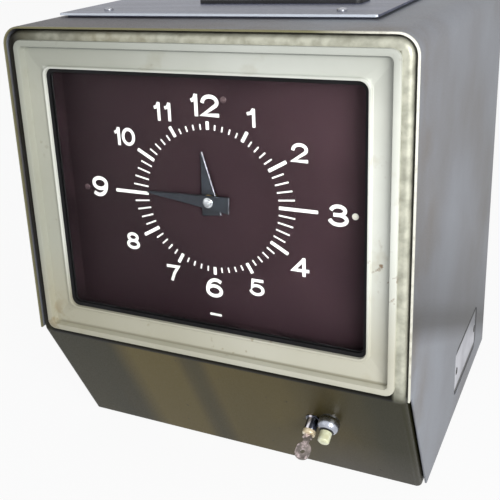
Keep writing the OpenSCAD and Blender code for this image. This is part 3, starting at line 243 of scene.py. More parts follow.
def specks(material, scale, least, most):
    """Scattered spots: 0 nearly everywhere and 1 where a noise is at its highest."""
    noise = place_on(material, "TexNoise", "Fac", Scale=scale, Detail=4)
    return wire(material.node_tree, "MapRange", {"Value": noise, "From Min": least, "From Max": most})


def reckon(sum_kind, first, second=0.0):
    """One sum of two values, worked out at every place of the finish."""
    tree = (first if isinstance(first, bpy.types.NodeSocket) else second).id_data
    return wire(tree, "Math", {0: first, 1: second}, operation=sum_kind)


def both(first, second):
    """Where both patterns are strong."""
    return reckon("MULTIPLY", first, second)


def shaped(value, *levels):
    """The level read off a line that is drawn through (value, level) points."""
    return read_off(value, [(position, (level, level, level, 1)) for position, level in levels])


def lay_over(material, colour, where):
    """Lays a second colour over the finish wherever the pattern is at 1."""
    tree = material.node_tree
    base = tree.nodes["Principled BSDF"].inputs["Base Color"]
    mixed = wire(tree, "Mix", {0: where, 6: base.links[0].from_socket, 7: tint(*colour)}, 2, data_type="RGBA")
    tree.links.new(mixed, base)


def fit(piece, body, slot, material, *nodes):
    """Paints the finished piece and fits it to the body that carries it."""
    if not piece.data.materials:
        piece.data.materials.append(material)
    if nodes:
        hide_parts(*nodes)
    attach(piece, body)


hood_paint = finish_of("hood_paint", [(110, 108, 108), (126, 128, 134), (138, 142, 150)], patch=7,
                       rough=(0.36, 0.48), metal=0.15, shine=0.15, grain=0.12)
lay_over(hood_paint, (106, 98, 90), both(specks(hood_paint, 30, 0.45, 0.75), along(hood_paint, "Y", 70, 0)))


def painted_reflection_streak(material):
    """The long dark painted reflection that runs down the right side of the case, from front to rear."""
    fall = reckon("ADD", along(material, "Z", 0, 400), reckon("MULTIPLY", along(material, "Y", 0, 400), 0.47))
    line = shaped(fall, (0.31, 0), (0.345, 0.8), (0.36, 0.8), (0.39, 0.5), (0.44, 0.3), (0.53, 0))
    return both(line, along(material, "X", 100, 124))


# Painted reflection: the dark streak down the right side of the hood.
lay_over(hood_paint, (36, 34, 33), painted_reflection_streak(hood_paint))
# Painted shade: the top of the hood goes darker towards the left.
lay_over(hood_paint, (62, 57, 60), both(
    along(hood_paint, "Z", 285, 291.5), shaped(along(hood_paint, "X", 100, -100), (0.1, 0), (0.7, 1))))
rim = along(hood_paint, "Y", 1.6, 1.1)
lay_over(hood_paint, (124, 120, 92), rim)
# Painted highlight on the bare rim at its right-hand end, broken up by specks.
rim_glint_specks = shaped(specks(hood_paint, 260, 0.25, 0.5), (0, 0.6), (1, 1))
lit_end = both(along(hood_paint, "X", 70, 118), shaped(along(hood_paint, "Z", 67, 277), (0, 0.6), (1, 1)))
lay_over(hood_paint, (244, 242, 230), both(rim_glint_specks, both(rim, lit_end)))

hood = stock("hood_sheet", (-hood_w / 2, hood_w / 2), (0, hood_d), (0, hood_h))
mark_out("FACE", lambda middle, way: abs(way.y) > 0.9 or way.z < -0.9)
bpy.ops.mesh.delete(type="ONLY_FACE")
round_off(lambda middle, line: abs(line.y) > 0.9 and middle.z > hood_h - 1, hood_round, 10)
for place, cut_way in (((0, 0, bend_z), (0, 0, 1)), ((0, flange_y[0], 0), (0, 1, 0)),
                       ((0, flange_y[1], 0), (0, 1, 0))):
    mark_out("FACE", lambda middle, way: True)
    bpy.ops.mesh.bisect(plane_co=at(*place), plane_no=cut_way)
mark_out("FACE", lambda middle, way: middle.z < bend_z)
bpy.ops.mesh.bisect(plane_co=at(0, edge_back, bend_z),
                    plane_no=(0, -math.cos(slope_lean), -math.sin(slope_lean)))
mark_out("FACE", lambda middle, way: middle.z < bend_z
         and middle.y < edge_back + (bend_z - middle.z) * math.tan(slope_lean))
bpy.ops.mesh.delete(type="FACE")
for side in (-1, 1):
    mark_out("EDGE", lambda middle, line: middle.z < 0.1 and middle.x * side > 0
             and flange_y[0] < middle.y < flange_y[1])
    draw_out(-side * flange_in, 0, 0)
bpy.ops.object.mode_set(mode="OBJECT")
machine(hood, "SOLIDIFY", thickness=sheet / 1000, offset=-1, use_even_offset=True)
cut_out(hood,
        rounded_cutter((hood_w / 2 - 4, hood_w / 2 + 4), (136, 218), (14.5, 50), 6, "X"),
        rounded_cutter(card_slot_x, card_slot_y, (hood_h - 5, hood_h + 5), card_slot_round, "Z"))
for side in (-1, 1):
    for tab_z in rear_screw_z:
        x = sorted((side * (hood_w / 2 - sheet / 2), side * (hood_w / 2 - sheet - tab_in)))
        tab = stock("hood_tab", x, (250.8, 252), (tab_z - tab_half, tab_z + tab_half))
        hood = join_up("hood_sheet", [hood, tab])
break_edges(hood, 0.35)
fit(hood, "case", "hood_paint", hood_paint, "hood")

# Front door: the same sheet, pressed with soft edges all round, upright above and sloping back
# below the bend, turned in along its rim. It is sprayed in a darker olive bronze.
door_w = 245
door_foot = 1
door_head = 289.3
door_round = 9
door_depth = 9
soft_edge = 3.5
slope_cos = math.cos(slope_lean)
slope_sin = math.sin(slope_lean)
door_foot_y = (bend_z - door_foot) * math.tan(slope_lean)
door_rear_y = door_foot_y + door_depth * (slope_cos + slope_sin * math.tan(slope_lean))
bend_rise = door_depth * math.tan(slope_lean / 2)

door_paint = finish_of("door_paint", [(48, 45, 25), (60, 52, 27), (70, 61, 30), (55, 49, 25)], patch=5,
                       rough=(0.34, 0.5), metal=0.35, shine=0.15, grain=0.14, stretch=(2.2, 0.6, 0.6))
across = along(door_paint, "X", -door_w / 2, door_w / 2)
# Painted reflections: light and dark bands across the metallic paint of the door.
lay_over(door_paint, (92, 80, 38), shaped(
    across, (0.2, 0), (0.27, 0.95), (0.4, 0.9), (0.425, 0.1), (0.47, 0.05), (0.5, 0.6), (0.66, 0.5),
    (0.8, 0)))
lay_over(door_paint, (40, 41, 27), shaped(
    across, (0, 0.5), (0.14, 0.7), (0.24, 0), (0.42, 0.1), (0.45, 0.4), (0.5, 0), (0.82, 0), (0.93, 0.7)))
# Painted sheen: a paler grey patch low on the right of the slope.
lay_over(door_paint, (82, 79, 74), both(shaped(across, (0.55, 0), (0.8, 0.8), (1, 0.6)),
                                        along(door_paint, "Z", 40, 0)))
lay_over(door_paint, (32, 28, 22), specks(door_paint, 330, 0.71, 0.74))


def inset_from(material, wide, low, high, reach):
    """How far in from the edge of an upright frame a place lies: 0 at the edge, 1 at the reach."""
    sides = []
    for axis, middle, half in (("X", 0.0, wide / 2), ("Z", case_z + (low + high) / 2000, (high - low) / 2)):
        away = reckon("ABSOLUTE", reckon("SUBTRACT", place_on(material, "SeparateXYZ", axis), middle))
        sides.append(reckon("SUBTRACT", half / 1000, away))
    return reckon("DIVIDE", reckon("MINIMUM", *sides), reach / 1000)


strip_in = inset_from(door_paint, door_w, -door_head, door_head, 10)
strip = both(shaped(strip_in, (0.6, 1), (0.8, 0)), along(door_paint, "Z", 88, 100))
# Painted shade along the far left of the door's edge strip.
lay_over(door_paint, (14, 12, 9), both(strip, shaped(across, (0.03, 0.9), (0.05, 0))))
# Painted highlight on the edge strip round the bezel, growing towards the right and broken up by worn specks.
strip = both(strip, shaped(across, (0.02, 0), (0.1, 0.5), (0.5, 0.9), (0.9, 1)))
lay_over(door_paint, (194, 194, 178), both(
    strip, shaped(specks(door_paint, 150, 0.35, 0.62), (0, 0.6), (1, 1))))
shade = shaped(along(door_paint, "Z", 88, 93.5), (0.1, 0), (0.3, 0.95))
lay_over(door_paint, (12, 11, 6), both(shade, shaped(strip_in, (0.6, 0), (0.8, 1))))


def on_door_front(place):
    """True on the door's front, above and below the bend."""
    return abs(place.y - max(0, bend_z - place.z) * math.tan(slope_lean)) < 0.05


def true_up(piece):
    """Merges doubled corners and turns every face outwards."""
    take(piece)
    bpy.ops.object.mode_set(mode="EDIT")
    bpy.ops.mesh.select_all(action="SELECT")
    bpy.ops.mesh.remove_doubles(threshold=0.000005)
    bpy.ops.mesh.normals_make_consistent(inside=False)
    bpy.ops.object.mode_set(mode="OBJECT")


door = stock("door_sheet", (-door_w / 2, door_w / 2), (0, door_depth), (bend_z, door_head))
mark_out("EDGE", lambda middle, line: abs(line.x) > 0.9 and middle.z < bend_z + 1 and middle.y > 1)
bpy.ops.transform.translate(value=(0, 0, bend_rise / 1000))
mark_out("FACE", lambda middle, way: way.z < -0.5)
draw_out(0, door_foot_y, door_foot - bend_z)
mark_out("EDGE", lambda middle, line: abs(line.x) > 0.9 and middle.z < 10 and middle.y > door_foot_y + 1)
bpy.ops.transform.translate(value=(0, (door_rear_y - door_foot_y - door_depth) / 1000, -bend_rise / 1000))
round_off(lambda middle, line: abs(line.y) > 0.9 and middle.z > door_head - 1, door_round)
mark_out("FACE", lambda middle, way: way.y > 0.5)
bpy.ops.mesh.delete(type="FACE")
round_off(lambda middle, line: on_door_front(middle) and middle.z > door_foot + 1
          and (abs(middle.x) > 100 or middle.z > door_head - 12), soft_edge, 5)
round_off(lambda middle, line: on_door_front(middle) and middle.z < door_foot + 0.1, 1, 3)
round_off(lambda middle, line: abs(middle.z - bend_z - middle.y * bend_rise / door_depth) < 0.05
          and abs(line.z) < 0.5, sheet, 3)
machine(door, "SOLIDIFY", thickness=sheet / 1000, offset=-1, use_even_offset=True)


def turned(name, profile, sides=64):
    """A piece off the lathe, from (radius, height) in millimetres at its foot to its head."""
    bpy.ops.object.select_all(action="DESELECT")
    bpy.ops.mesh.primitive_circle_add(vertices=sides, radius=profile[0][0] / 1000, fill_type="NGON",
                                      location=(0, 0, profile[0][1] / 1000))
    piece = bpy.context.object
    piece.name = name
    bpy.ops.object.transform_apply()
    bpy.ops.object.mode_set(mode="EDIT")
    bpy.ops.mesh.select_mode(type="FACE")
    bpy.ops.mesh.select_all(action="SELECT")
    for (radius, low), (wider, high) in zip(profile, profile[1:]):
        draw_out(0, 0, high - low)
        share = wider / radius
        bpy.ops.transform.resize(value=(share, share, 1), center_override=(0, 0, high / 1000))
    bpy.ops.object.mode_set(mode="OBJECT")
    true_up(piece)
    bpy.ops.object.shade_smooth_by_angle(angle=math.radians(35))
    return piece


def set_down(piece, place, lean=(0, 0, 0)):
    """Turns a piece that was made at the origin and puts it in its place for good."""
    take(piece)
    piece.rotation_euler = lean
    piece.location = place
    bpy.ops.object.transform_apply()


def bore(piece, radius, low, high, place=(0, 0, 0), lean=(0, 0, 0), sides=32):
    """Drills a round hole from low to high along a drill that is leaned and set in its place."""
    drill = turned("cutter", [(radius, low), (radius, high)], sides)
    set_down(drill, place, lean)
    cut_out(piece, drill)


def on_slope(x, down):
    """Where a piece stands on the slope, and its lean: its Z out of the sheet and its Y up the slope."""
    return at(x, down * slope_sin, bend_z - down * slope_cos), (math.pi / 2 + slope_lean, 0, 0)


dial_z = 188.8
cut_out(door, rounded_cutter((-114.1, 114.1), (-5, 4.5), (dial_z - 92.9, dial_z + 92.9), 5.5, "Y"))
for hinge_z in (124, 262):
    cut_out(door, stock("cutter", (-130, -118.5), (0.95, 12), (hinge_z - 3.1, hinge_z + 3.1)))
lock_x = 62
lock_place = on_slope(lock_x, 43)
knob_place = on_slope(73.5, 38.5)
for hole_place, hole_r in ((lock_place, 3.6), (knob_place, 2.1)):
    bore(door, hole_r, -5, 2, *hole_place)
break_edges(door, 0.25)
fit(door, "door", "door_paint", door_paint, "door")

# Bezel: an ivory moulding that frames the window, with a raised band round the outside, a sunk
# and nearly flat face, and a fine lip at the glass. Six spring clips hold it from behind.
bezel_w = 233.2
bezel_h = 190.8
ivory = finish_of("ivory_moulding", [(202, 203, 192), (214, 216, 206), (226, 228, 220)], patch=11,
                  rough=(0.34, 0.46), grain=0.05, grit=700)
lay_over(ivory, (186, 180, 158), specks(ivory, 46, 0.62, 0.85))
lay_over(ivory, (122, 92, 58), both(specks(ivory, 210, 0.6, 0.68), specks(ivory, 26, 0.56, 0.66)))
# Painted shade: the bezel goes darker towards the left, away from the light.
lay_over(ivory, (150, 150, 132), shaped(along(ivory, "X", 30, -bezel_w / 2), (0, 0), (1, 0.75)))
depth_in = inset_from(ivory, bezel_w, dial_z - bezel_h / 2, dial_z + bezel_h / 2, 20)
# Painted shadow: a thin dark line in the step between the band and the sunk face, left off at the far left.
groove_shadow = shaped(depth_in, (0.2, 0), (0.21, 0.9), (0.245, 0.9), (0.28, 0))
groove_shadow = both(groove_shadow, along(ivory, "X", -111.5, -108))
lay_over(ivory, (88, 94, 90), both(groove_shadow, along(ivory, "Y", 1.4, 2.4)))
corner = both(along(ivory, "X", -96, -112), along(ivory, "Z", 124, 104))
lay_over(ivory, (122, 102, 70), both(corner, specks(ivory, 120, 0.5, 0.62)))
# Painted shade: the lower side of the bezel goes darker and beiger.
shaded_low_side = along(ivory, "Z", 155, 116)
lay_over(ivory, (168, 162, 138), reckon("MULTIPLY", shaded_low_side, 0.62))
# Painted highlight along the lip at the glass, left off the bottom.
lip = both(shaped(depth_in, (0.78, 0), (0.84, 0.7)), shaped(shaded_low_side, (0, 1), (1, 0)))
lay_over(ivory, (244, 246, 236), lip)
# Painted shade: the top band of the bezel a little darker.
lay_over(ivory, (140, 144, 136), reckon("MULTIPLY", along(ivory, "Z", 250, 280), 0.5))


def rounded_loop(wide, high, radius, y):
    """One ring of edges: a rectangle with round corners that stands upright at the given depth."""
    bpy.ops.object.select_all(action="DESELECT")
    bpy.ops.mesh.primitive_plane_add(size=1, location=at(0, y, dial_z), rotation=(math.pi / 2, 0, 0))
    ring = bpy.context.object
    ring.scale = (wide / 1000, high / 1000, 1)
    bpy.ops.object.transform_apply()
    bpy.ops.object.mode_set(mode="EDIT")
    bpy.ops.mesh.select_mode(type="VERT")
    bpy.ops.mesh.select_all(action="SELECT")
    bpy.ops.mesh.bevel(offset=radius / 1000, segments=8, affect="VERTICES")
    bpy.ops.mesh.select_mode(type="FACE")
    bpy.ops.mesh.select_all(action="SELECT")
    bpy.ops.mesh.delete(type="ONLY_FACE")
    bpy.ops.object.mode_set(mode="OBJECT")
    return ring


def moulded_frame(name, wide, high, profile, closed=False):
    """A frame or a pane built ring by ring from (inset, depth, corner radius), then bridged."""
    rings = [rounded_loop(wide - 2 * inset, high - 2 * inset, radius, y) for inset, y, radius in profile]
    corners = len(rings[0].data.vertices)
    moulding = join_up(name, rings)
    bpy.ops.object.mode_set(mode="EDIT")
    work = bmesh.from_edit_mesh(moulding.data)
    work.verts.ensure_lookup_table()
    sides = [[vertex.index for vertex in edge.verts] for edge in work.edges if edge.verts[0].index < corners]
    for low in range(len(profile) - 1 if closed else len(profile)):
        high_ring = (low + 1) % len(profile)
        for first, second in sides:
            work.faces.new([work.verts[i] for i in (
                low * corners + first, low * corners + second,
                high_ring * corners + second, high_ring * corners + first)])
    bmesh.update_edit_mesh(moulding.data)
    if closed:
        for y in (profile[0][1], profile[-1][1]):
            mark_out("EDGE", lambda middle, line: abs(middle.y - y) < 0.01)
            bpy.ops.mesh.edge_face_add()
    true_up(moulding)
    bpy.ops.object.shade_smooth_by_angle(angle=math.radians(30))
    return moulding


bezel = moulded_frame("bezel_moulding", bezel_w, bezel_h, [
    (0, 0, 5.4), (0, -1.2, 5.4), (0.25, -1.75, 5.3), (0.9, -2, 5.2), (3.1, -2, 3.4), (3.7, -1.8, 3),
    (4, -1.2, 2.8), (4.2, 2.2, 2.6), (4.5, 2.9, 2.4), (5.2, 3.2, 2.2), (14.9, 4, 6.6), (15.4, 3.7, 6.5),
    (15.7, 2.9, 6.3), (16.1, 2.6, 6), (16.8, 2.6, 5.6), (17.15, 2.8, 5.3), (17.3, 3.3, 5.1),
    (17.3, 4.8, 5.1), (2.8, 4.8, 5.2), (2.8, 0, 5.4)])
fit(bezel, "door", "ivory_plastic", ivory, "bezel")

# Window: a clear pane with its edges softened, seated in a black rubber channel that shows as
# a dark line inside the bezel, and pressed home by a thin steel frame behind.
window_w = 198.6
window_h = 155.4
glass = finish_of("clear_pane", [(246, 248, 246), (252, 253, 252)], patch=8, rough=(0.01, 0.03), grain=0.0)
tree = glass.node_tree
clear = tree.nodes["Principled BSDF"]
clear.inputs["Transmission Weight"].default_value = 1
clear.inputs["IOR"].default_value = 1.05
shadow = wire(tree, "LightPath", {}, "Is Shadow Ray")
through = wire(tree, "MixShader", {0: shadow, 1: clear.outputs["BSDF"], 2: wire(tree, "BsdfTransparent", {})})
tree.links.new(through, tree.nodes["Material Output"].inputs["Surface"])
pane = moulded_frame("window_pane", window_w + 3, window_h + 3,
                     [(0.3, 5.6, 6.2), (0, 5.9, 6.5), (0, 7.3, 6.5), (0.3, 7.6, 6.2)], closed=True)
fit(pane, "door", "clear_glass", glass, "crystal")

rubber = finish_of("black_rubber", [(16, 16, 17), (26, 26, 28)], patch=60, rough=(0.55, 0.75), shine=0.15,
                   grain=0.2)
channel = moulded_frame("window_gasket", window_w + 7, window_h + 7, [
    (0, 4.8, 8.5), (5.1, 4.8, 3.8), (5.5, 5, 3.4), (5.5, 5.4, 3.4), (5.2, 5.6, 3.6), (2, 5.6, 6.5),
    (2, 7.6, 6.5), (5.2, 7.6, 3.6), (5.5, 7.8, 3.4), (5.5, 8.2, 3.4), (5.1, 8.4, 3.8), (0, 8.4, 8.5)])
fit(channel, "door", "gasket_rubber", rubber, "crystal_gasket")

# Dial: a maroon sheet fixed to the movement by three dull maroon-toned screws, with the hour bars, the
# minute marks and the figures printed on it in white.
dial_face_y = 19.3
ink_t = 0.06
marks_from = 43
hour_reach = (48, 50, 55.6, 66.5, 55.6, 50)
maroon = finish_of("dial_maroon", [(48, 34, 39), (55, 40, 45), (61, 45, 50)], patch=9, rough=(0.42, 0.55),
                   shine=0.06, grain=0.05, grit=1600)
# Painted shade: the dial goes darker towards the left and towards the bottom.
lay_over(maroon, (26, 20, 22), shaped(along(maroon, "X", 60, -100), (0, 0), (1, 0.85)))
lay_over(maroon, (34, 22, 27), shaped(along(maroon, "Z", dial_z, dial_z - 70), (0, 0), (1, 0.5)))
lay_over(maroon, (120, 104, 104), both(specks(maroon, 420, 0.7, 0.76), specks(maroon, 40, 0.5, 0.7)))
tray = finish_of("dial_tray", [(37, 28, 31), (44, 33, 37), (52, 39, 43)], patch=40, rough=(0.5, 0.65),
                 shine=0.1, grain=0.1)
white_ink = finish_of("white_ink", [(226, 226, 222), (244, 244, 240)], patch=120, rough=(0.45, 0.6),
                      grain=0.1)


def paint(material, *nodes):
    """Gives solids that stay as they are their finish."""
    for node in nodes:
        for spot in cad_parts[node].material_slots:
            spot.material = material


paint(maroon, "dial")
paint(tray, "dial_backing")


def clock_turn(minutes):
    """The angle to the right of straight up, for a place on the minute ring."""
    return math.radians(minutes * 6)


def printed_bar(turn, inner, outer, wide):
    """One mark of ink on the dial, from an inner to an outer radius."""
    bpy.ops.object.select_all(action="DESELECT")
    bpy.ops.mesh.primitive_cube_add(size=1)
    bar = bpy.context.object
    bar.scale = (wide / 1000, ink_t / 1000, (outer - inner) / 1000)
    bpy.ops.object.transform_apply()
    round_off(lambda middle, line: abs(line.y) > 0.9, min(wide, outer - inner) * 0.18, 2)
    reach = (inner + outer) / 2
    middle = at(reach * math.sin(turn), dial_face_y - ink_t / 2, dial_z + reach * math.cos(turn))
    set_down(bar, middle, (0, turn, 0))
    return bar


marks = []
for minute in range(60):
    turn = clock_turn(minute)
    sideways = abs(math.sin(turn)) ** 5
    if minute % 5:
        marks.append(printed_bar(turn, marks_from, 46.3 + 7 * sideways, 0.95))
    else:
        marks.append(printed_bar(turn, marks_from, hour_reach[minute // 5 % 6], 2.1))
dash_turn = clock_turn(30.135)
marks.append(printed_bar(dash_turn, 74.5, 76.1, 7.9))
fit(join_up("dial_marks", marks), "case", "dial_paint", white_ink)


def bow(x, z, across, up, first, last):
    """Points along part of an oval, by its middle, its half width and height, and its two angles."""
    turns = [math.radians(first + (last - first) * i / 24) for i in range(25)]
    return [(x + across * math.cos(turn), z + up * math.sin(turn)) for turn in turns]


# Each figure is drawn with a round pen's middle line in a box one wide and one high.
pens_high = 5.8
loop = bow(0.5, 0.31, 0.5, 0.31, 0, 345)
tail = bow(0.62, 0.36, 0.62, 0.64, 184, 62)
figure_lines = {
    "0": [bow(0.5, 0.5, 0.5, 0.5, 0, 345)],
    "1": [[(1, 0), (1, 1)], [(0, 0.78), (0.5, 0.82), (0.85, 1)]],
    "2": [bow(0.5, 0.7, 0.5, 0.3, 172, -38) + [(0, 0), (1, 0)]],
    "3": [bow(0.47, 0.765, 0.43, 0.235, 160, -90), bow(0.48, 0.265, 0.52, 0.265, 90, -160),
          [(0.28, 0.53), (0.5, 0.53)]],
    "4": [[(0.74, 0), (0.74, 1)], [(0.7, 0.97), (0, 0.28), (1, 0.28)]],
    "5": [[(0.93, 1), (0.18, 1), (0.08, 0.5)] + bow(0.48, 0.32, 0.52, 0.32, 132, -158)],
    "6": [loop, tail],
    "7": [[(0, 1), (1, 1), (0.6, 0.5), (0.36, 0)]],
    "8": [bow(0.5, 0.76, 0.42, 0.24, 0, 345), bow(0.5, 0.26, 0.5, 0.26, 0, 345)],
    "9": [[(1 - x, 1 - z) for x, z in loop], [(1 - x, 1 - z) for x, z in tail]]}
figure_places = [
    ("1", -9.9, -5.5, 50.6, 63.6), ("2", -3.4, 7.9, 50.6, 63.6), ("1", 25.2, 30.2, 46.2, 56.9),
    ("2", 51.4, 61, 28, 39.2), ("3", 72.8, 84.2, -7, 6), ("4", 50.2, 60.8, -40.6, -29),
    ("5", 22.7, 32.3, -57.8, -46.8), ("6", -6.9, 4.6, -63.5, -50.5), ("7", -33.9, -24.9, -56.6, -45.8),
    ("8", -62, -52.5, -38.9, -27.5), ("9", -84.1, -72.5, -5.6, 7.8), ("1", -63.9, -60, 29.4, 40.6),
    ("0", -58.9, -49.5, 29.4, 40.6), ("1", -34.7, -30.6, 46.5, 57.5), ("1", -27.6, -23.5, 46.5, 57.5)]


def drawn(line, closed, pen):
    """A flat band of the pen's width along a line of points, given as (x, z) pairs."""
    points = [Vector(point) for point in line]
    count = len(points)
    corners = []
    for i, here in enumerate(points):
        before = points[i - 1] if i or closed else here * 2 - points[1]
        after = points[(i + 1) % count] if i < count - 1 or closed else here * 2 - points[i - 1]
        ways = [(here - before).normalized(), (after - here).normalized()]
        way = (ways[0] + ways[1]).normalized()
        off = Vector((-way.y, way.x)) * pen / 2 / max(0.45, way.dot(ways[0]))
        if not closed and i in (0, count - 1):
            here = here + way * (pen / 2 if i else -pen / 2)
        corners += [here - off, here + off]
    last = count if closed else count - 1
    faces = [[(2 * i + k) % (2 * count) for k in (0, 1, 3, 2)] for i in range(last)]
    return corners, faces


figures = []
for number, left, right, low, high in figure_places:
    pen = (high - low) / pens_high
    for layer, line in enumerate(figure_lines[number]):
        closed = (Vector(line[0]) - Vector(line[-1])).length < 0.2
        inner = [(left + pen / 2 + x * (right - left - pen), low + pen / 2 + z * (high - low - pen))
                 for x, z in line]
        corners, faces = drawn(inner, closed, pen)
        shape = bpy.data.meshes.new("figure")
        y = dial_face_y - ink_t * (1.1 + 0.3 * layer)
        shape.from_pydata([at(x, y, dial_z + z) for x, z in corners], [], faces)
        figure = bpy.data.objects.new("figure", shape)
        bpy.context.collection.objects.link(figure)
        take(figure)
        mark_out("FACE", lambda middle, way: True)
        draw_out(0, ink_t, 0)
        true_up(figure)
        figures.append(figure)
fit(join_up("dial_figures", figures), "case", "dial_paint", white_ink)


def copies(name, piece, places, lean=(0, 0, 0)):
    """Sets copies of a piece down in their places and makes one set of them."""
    made = []
    for place in places:
        another = piece.copy()
        another.data = piece.data.copy()
        bpy.context.collection.objects.link(another)
        set_down(another, place, lean)
        made.append(another)
    bpy.data.objects.remove(piece)
    return join_up(name, made)


def slotted_screw(profile, deep):
    """A screw off the lathe, with a driver slot sawn across its head: the profile's last four points."""
    screw = turned("screw", profile, 32)
    head, top = max(profile[-4:])[0], profile[-1][1]
    saw = stock("cutter", (-head - 1, head + 1), (-head * 0.13, head * 0.13), (top - deep, top + 1))
    set_down(saw, -at(0, 0, 0))
    cut_out(screw, saw)
    return screw


facing = (math.pi / 2, 0, 0)
screw_paint_and_glint = finish_of("screw_paint_and_glint", [(66, 50, 54), (80, 62, 66), (100, 84, 86)], patch=300,
                       rough=(0.3, 0.45), metal=0.4, grain=0.08)
# Painted highlight: only the right-hand screw head shows a bright glint.
lay_over(screw_paint_and_glint, (238, 234, 224), along(screw_paint_and_glint, "X", 30, 70))
dial_screw = slotted_screw([
    (1.1, -4.4), (1.1, -3.8), (2.4, -3.8), (2.4, -2.4), (1.1, -2.4), (1.1, 0), (1.9, 0), (1.9, 0.3),
    (1.6, 0.55), (0.9, 0.7)], 0.3)
dial_screws = copies("dial_screw_set", dial_screw,
                     [at(x, dial_face_y, dial_z + z) for x, z in ((-88, 0), (88, 0), (11, 61))], facing)
fit(dial_screws, "case", "dial_screw", screw_paint_and_glint, "dial_screws")

# Hands: wedges of dark strip with a square tail and chamfered front edges, pressed on the two
# tubes of the motion work; their right-facing faces carry a painted highlight. A small polished nut holds
# them.
shown_minute = 45.6
minute_y = 14.8
hour_y = 16.6
hand_t = 1
hand_tip = 1
filed_w = 0.28
hand_dark = finish_of("hand_dark", [(22, 26, 32), (30, 34, 42), (38, 43, 51)], patch=90, rough=(0.4, 0.55),
                      metal=0.2, grain=0.08)
# Painted highlight: the bright finish given to the hands' right-facing faces.
edge_highlight_paint = finish_of("painted_edge_highlight", [(92, 93, 99), (122, 123, 131), (154, 155, 165)], patch=400,
                  rough=(0.25, 0.4), metal=0.75, grain=0.1)


def second_finish(piece, first, second, wanted):
    """Gives the piece two finishes, the second on the faces that suit."""
    for material in (first, second):
        piece.data.materials.append(material)
    mark_out("FACE", wanted)
    piece.active_material_index = 1
    bpy.ops.object.material_slot_assign()
    bpy.ops.object.mode_set(mode="OBJECT")


def wedge_hand(name, length, tail, wide, y, hole_r, turn):
    """A tapering hand, turned clockwise, with its front corners chamfered and a painted highlight on the
    faces that look right.
    """
    hand = stock(name, (-wide / 2, wide / 2), (y, y + hand_t), (dial_z - tail, dial_z + length))
    mark_out("VERT", lambda middle, way: middle.z > dial_z + length - 0.1)
    bpy.ops.transform.resize(value=(hand_tip / wide, 1, 1), center_override=at(0, y, dial_z))
    round_off(lambda middle, line: middle.y < y + 0.01, filed_w, 1)
    pivot = at(0, y, dial_z)
    bore(hand, hole_r, -3, 3, pivot, facing, 48)
    take(hand)
    bpy.context.scene.cursor.location = pivot
    bpy.ops.object.origin_set(type="ORIGIN_CURSOR")
    set_down(hand, pivot, (0, turn, 0))
    second_finish(hand, hand_dark, edge_highlight_paint, lambda middle, way: way.x > 0.5)
    return hand


minute_hand = wedge_hand("minute_pointer", 41.4, 13.4, 10.4, minute_y, 3, clock_turn(shown_minute))
fit(minute_hand, "minutes", "hand_paint", hand_dark, "minute_hand")
hour_hand = wedge_hand("hour_pointer", 30.4, 8.6, 12.6, hour_y, 4.4, math.radians(330 + shown_minute / 2))
fit(hour_hand, "hours", "hand_paint", hand_dark, "hour_hand")
polished = finish_of("polished_plate", [(150, 152, 158), (196, 198, 204), (222, 223, 228)], patch=260,
                     rough=(0.12, 0.22), metal=0.9, grain=0.03)
cap = turned("hand_cap", [
    (3.2, 0), (3.2, 0.5), (3, 0.7), (2.2, 0.7), (2.2, 1.25), (1.9, 1.5), (0.9, 1.6)], 48)
bore(cap, 1.6, -1, 1.1)
set_down(cap, at(0, minute_y, dial_z), facing)
fit(cap, "minutes", "chrome_plate", polished, "hand_nut")

# Lock: a chromed barrel through the slope, held by a nut behind, with a brass plug whose wide
# head carries the keyway. The plug turns the cam that grips behind the keeper on the base.
dark_chrome = finish_of("dark_chrome", [(30, 31, 36), (52, 54, 62), (92, 94, 104)], patch=150,
                        rough=(0.1, 0.2), metal=1.0, grain=0.03, grit=500)
# Painted highlight: a white streak down the chromed barrel.
lay_over(dark_chrome, (240, 236, 244), shaped(
    along(dark_chrome, "X", lock_x - 3.8, lock_x + 3.8), (0.2, 0), (0.3, 0.9), (0.42, 0.9), (0.52, 0)))
brass = finish_of("brass", [(150, 124, 70), (186, 160, 104), (206, 186, 132)], patch=180, rough=(0.28, 0.42),
                  metal=0.85, grain=0.08)
lay_over(brass, (92, 76, 48), specks(brass, 500, 0.62, 0.75))
thread = [(3.5 - 0.2 * (i % 2), -14 + i * 0.5) for i in range(20)]
barrel = turned("lock_barrel", thread + [
    (3.5, -3.5), (3.5, 0), (5, 0), (5, 0.5), (4.6, 0.9), (3.9, 1.1), (3.8, 1.5), (3.8, 7.8), (3.5, 8.3)])
bore(barrel, 2.56, -16, 10, sides=48)
set_down(barrel, *lock_place)
fit(barrel, "door", "chrome_plate", dark_chrome, "lock_body")

pale_brass = finish_of("pale_brass", [(190, 172, 138), (230, 214, 182), (244, 238, 220)], patch=180,
                       rough=(0.28, 0.42), metal=0.3, grain=0.08)
plug = turned("lock_core", [(2.5, -15), (2.5, 8.4), (4, 8.4), (4, 10.5), (3.75, 10.95), (3.3, 11.2)])
keyway = stock("cutter", (-2, 2), (-0.95, 0.95), (-8, 12.5))
set_down(keyway, -at(0, 0, 0))
cut_out(plug, keyway)
bore(plug, 1.3, -16, -9)
set_down(plug, *lock_place)
fit(plug, "lock", "brass_part", pale_brass, "lock_plug")

# Key: stamped from nickelled strip, with a rounded bow, a hole for a ring and four cuts along
# the blade. It stands in the keyway.
key_steel = finish_of("key_nickel", [(112, 104, 100), (146, 136, 132), (196, 182, 178)], patch=110,
                      rough=(0.3, 0.42), metal=0.5, grain=0.05)
# Painted highlights: pinkish bright specks over the nickel.
lay_over(key_steel, (222, 204, 204), specks(key_steel, 340, 0.5, 0.62))


def weld(piece, shape):
    """Makes the shape part of the piece."""
    machine(piece, "BOOLEAN", object=shape, operation="UNION", solver="EXACT")
    bpy.data.objects.remove(shape)


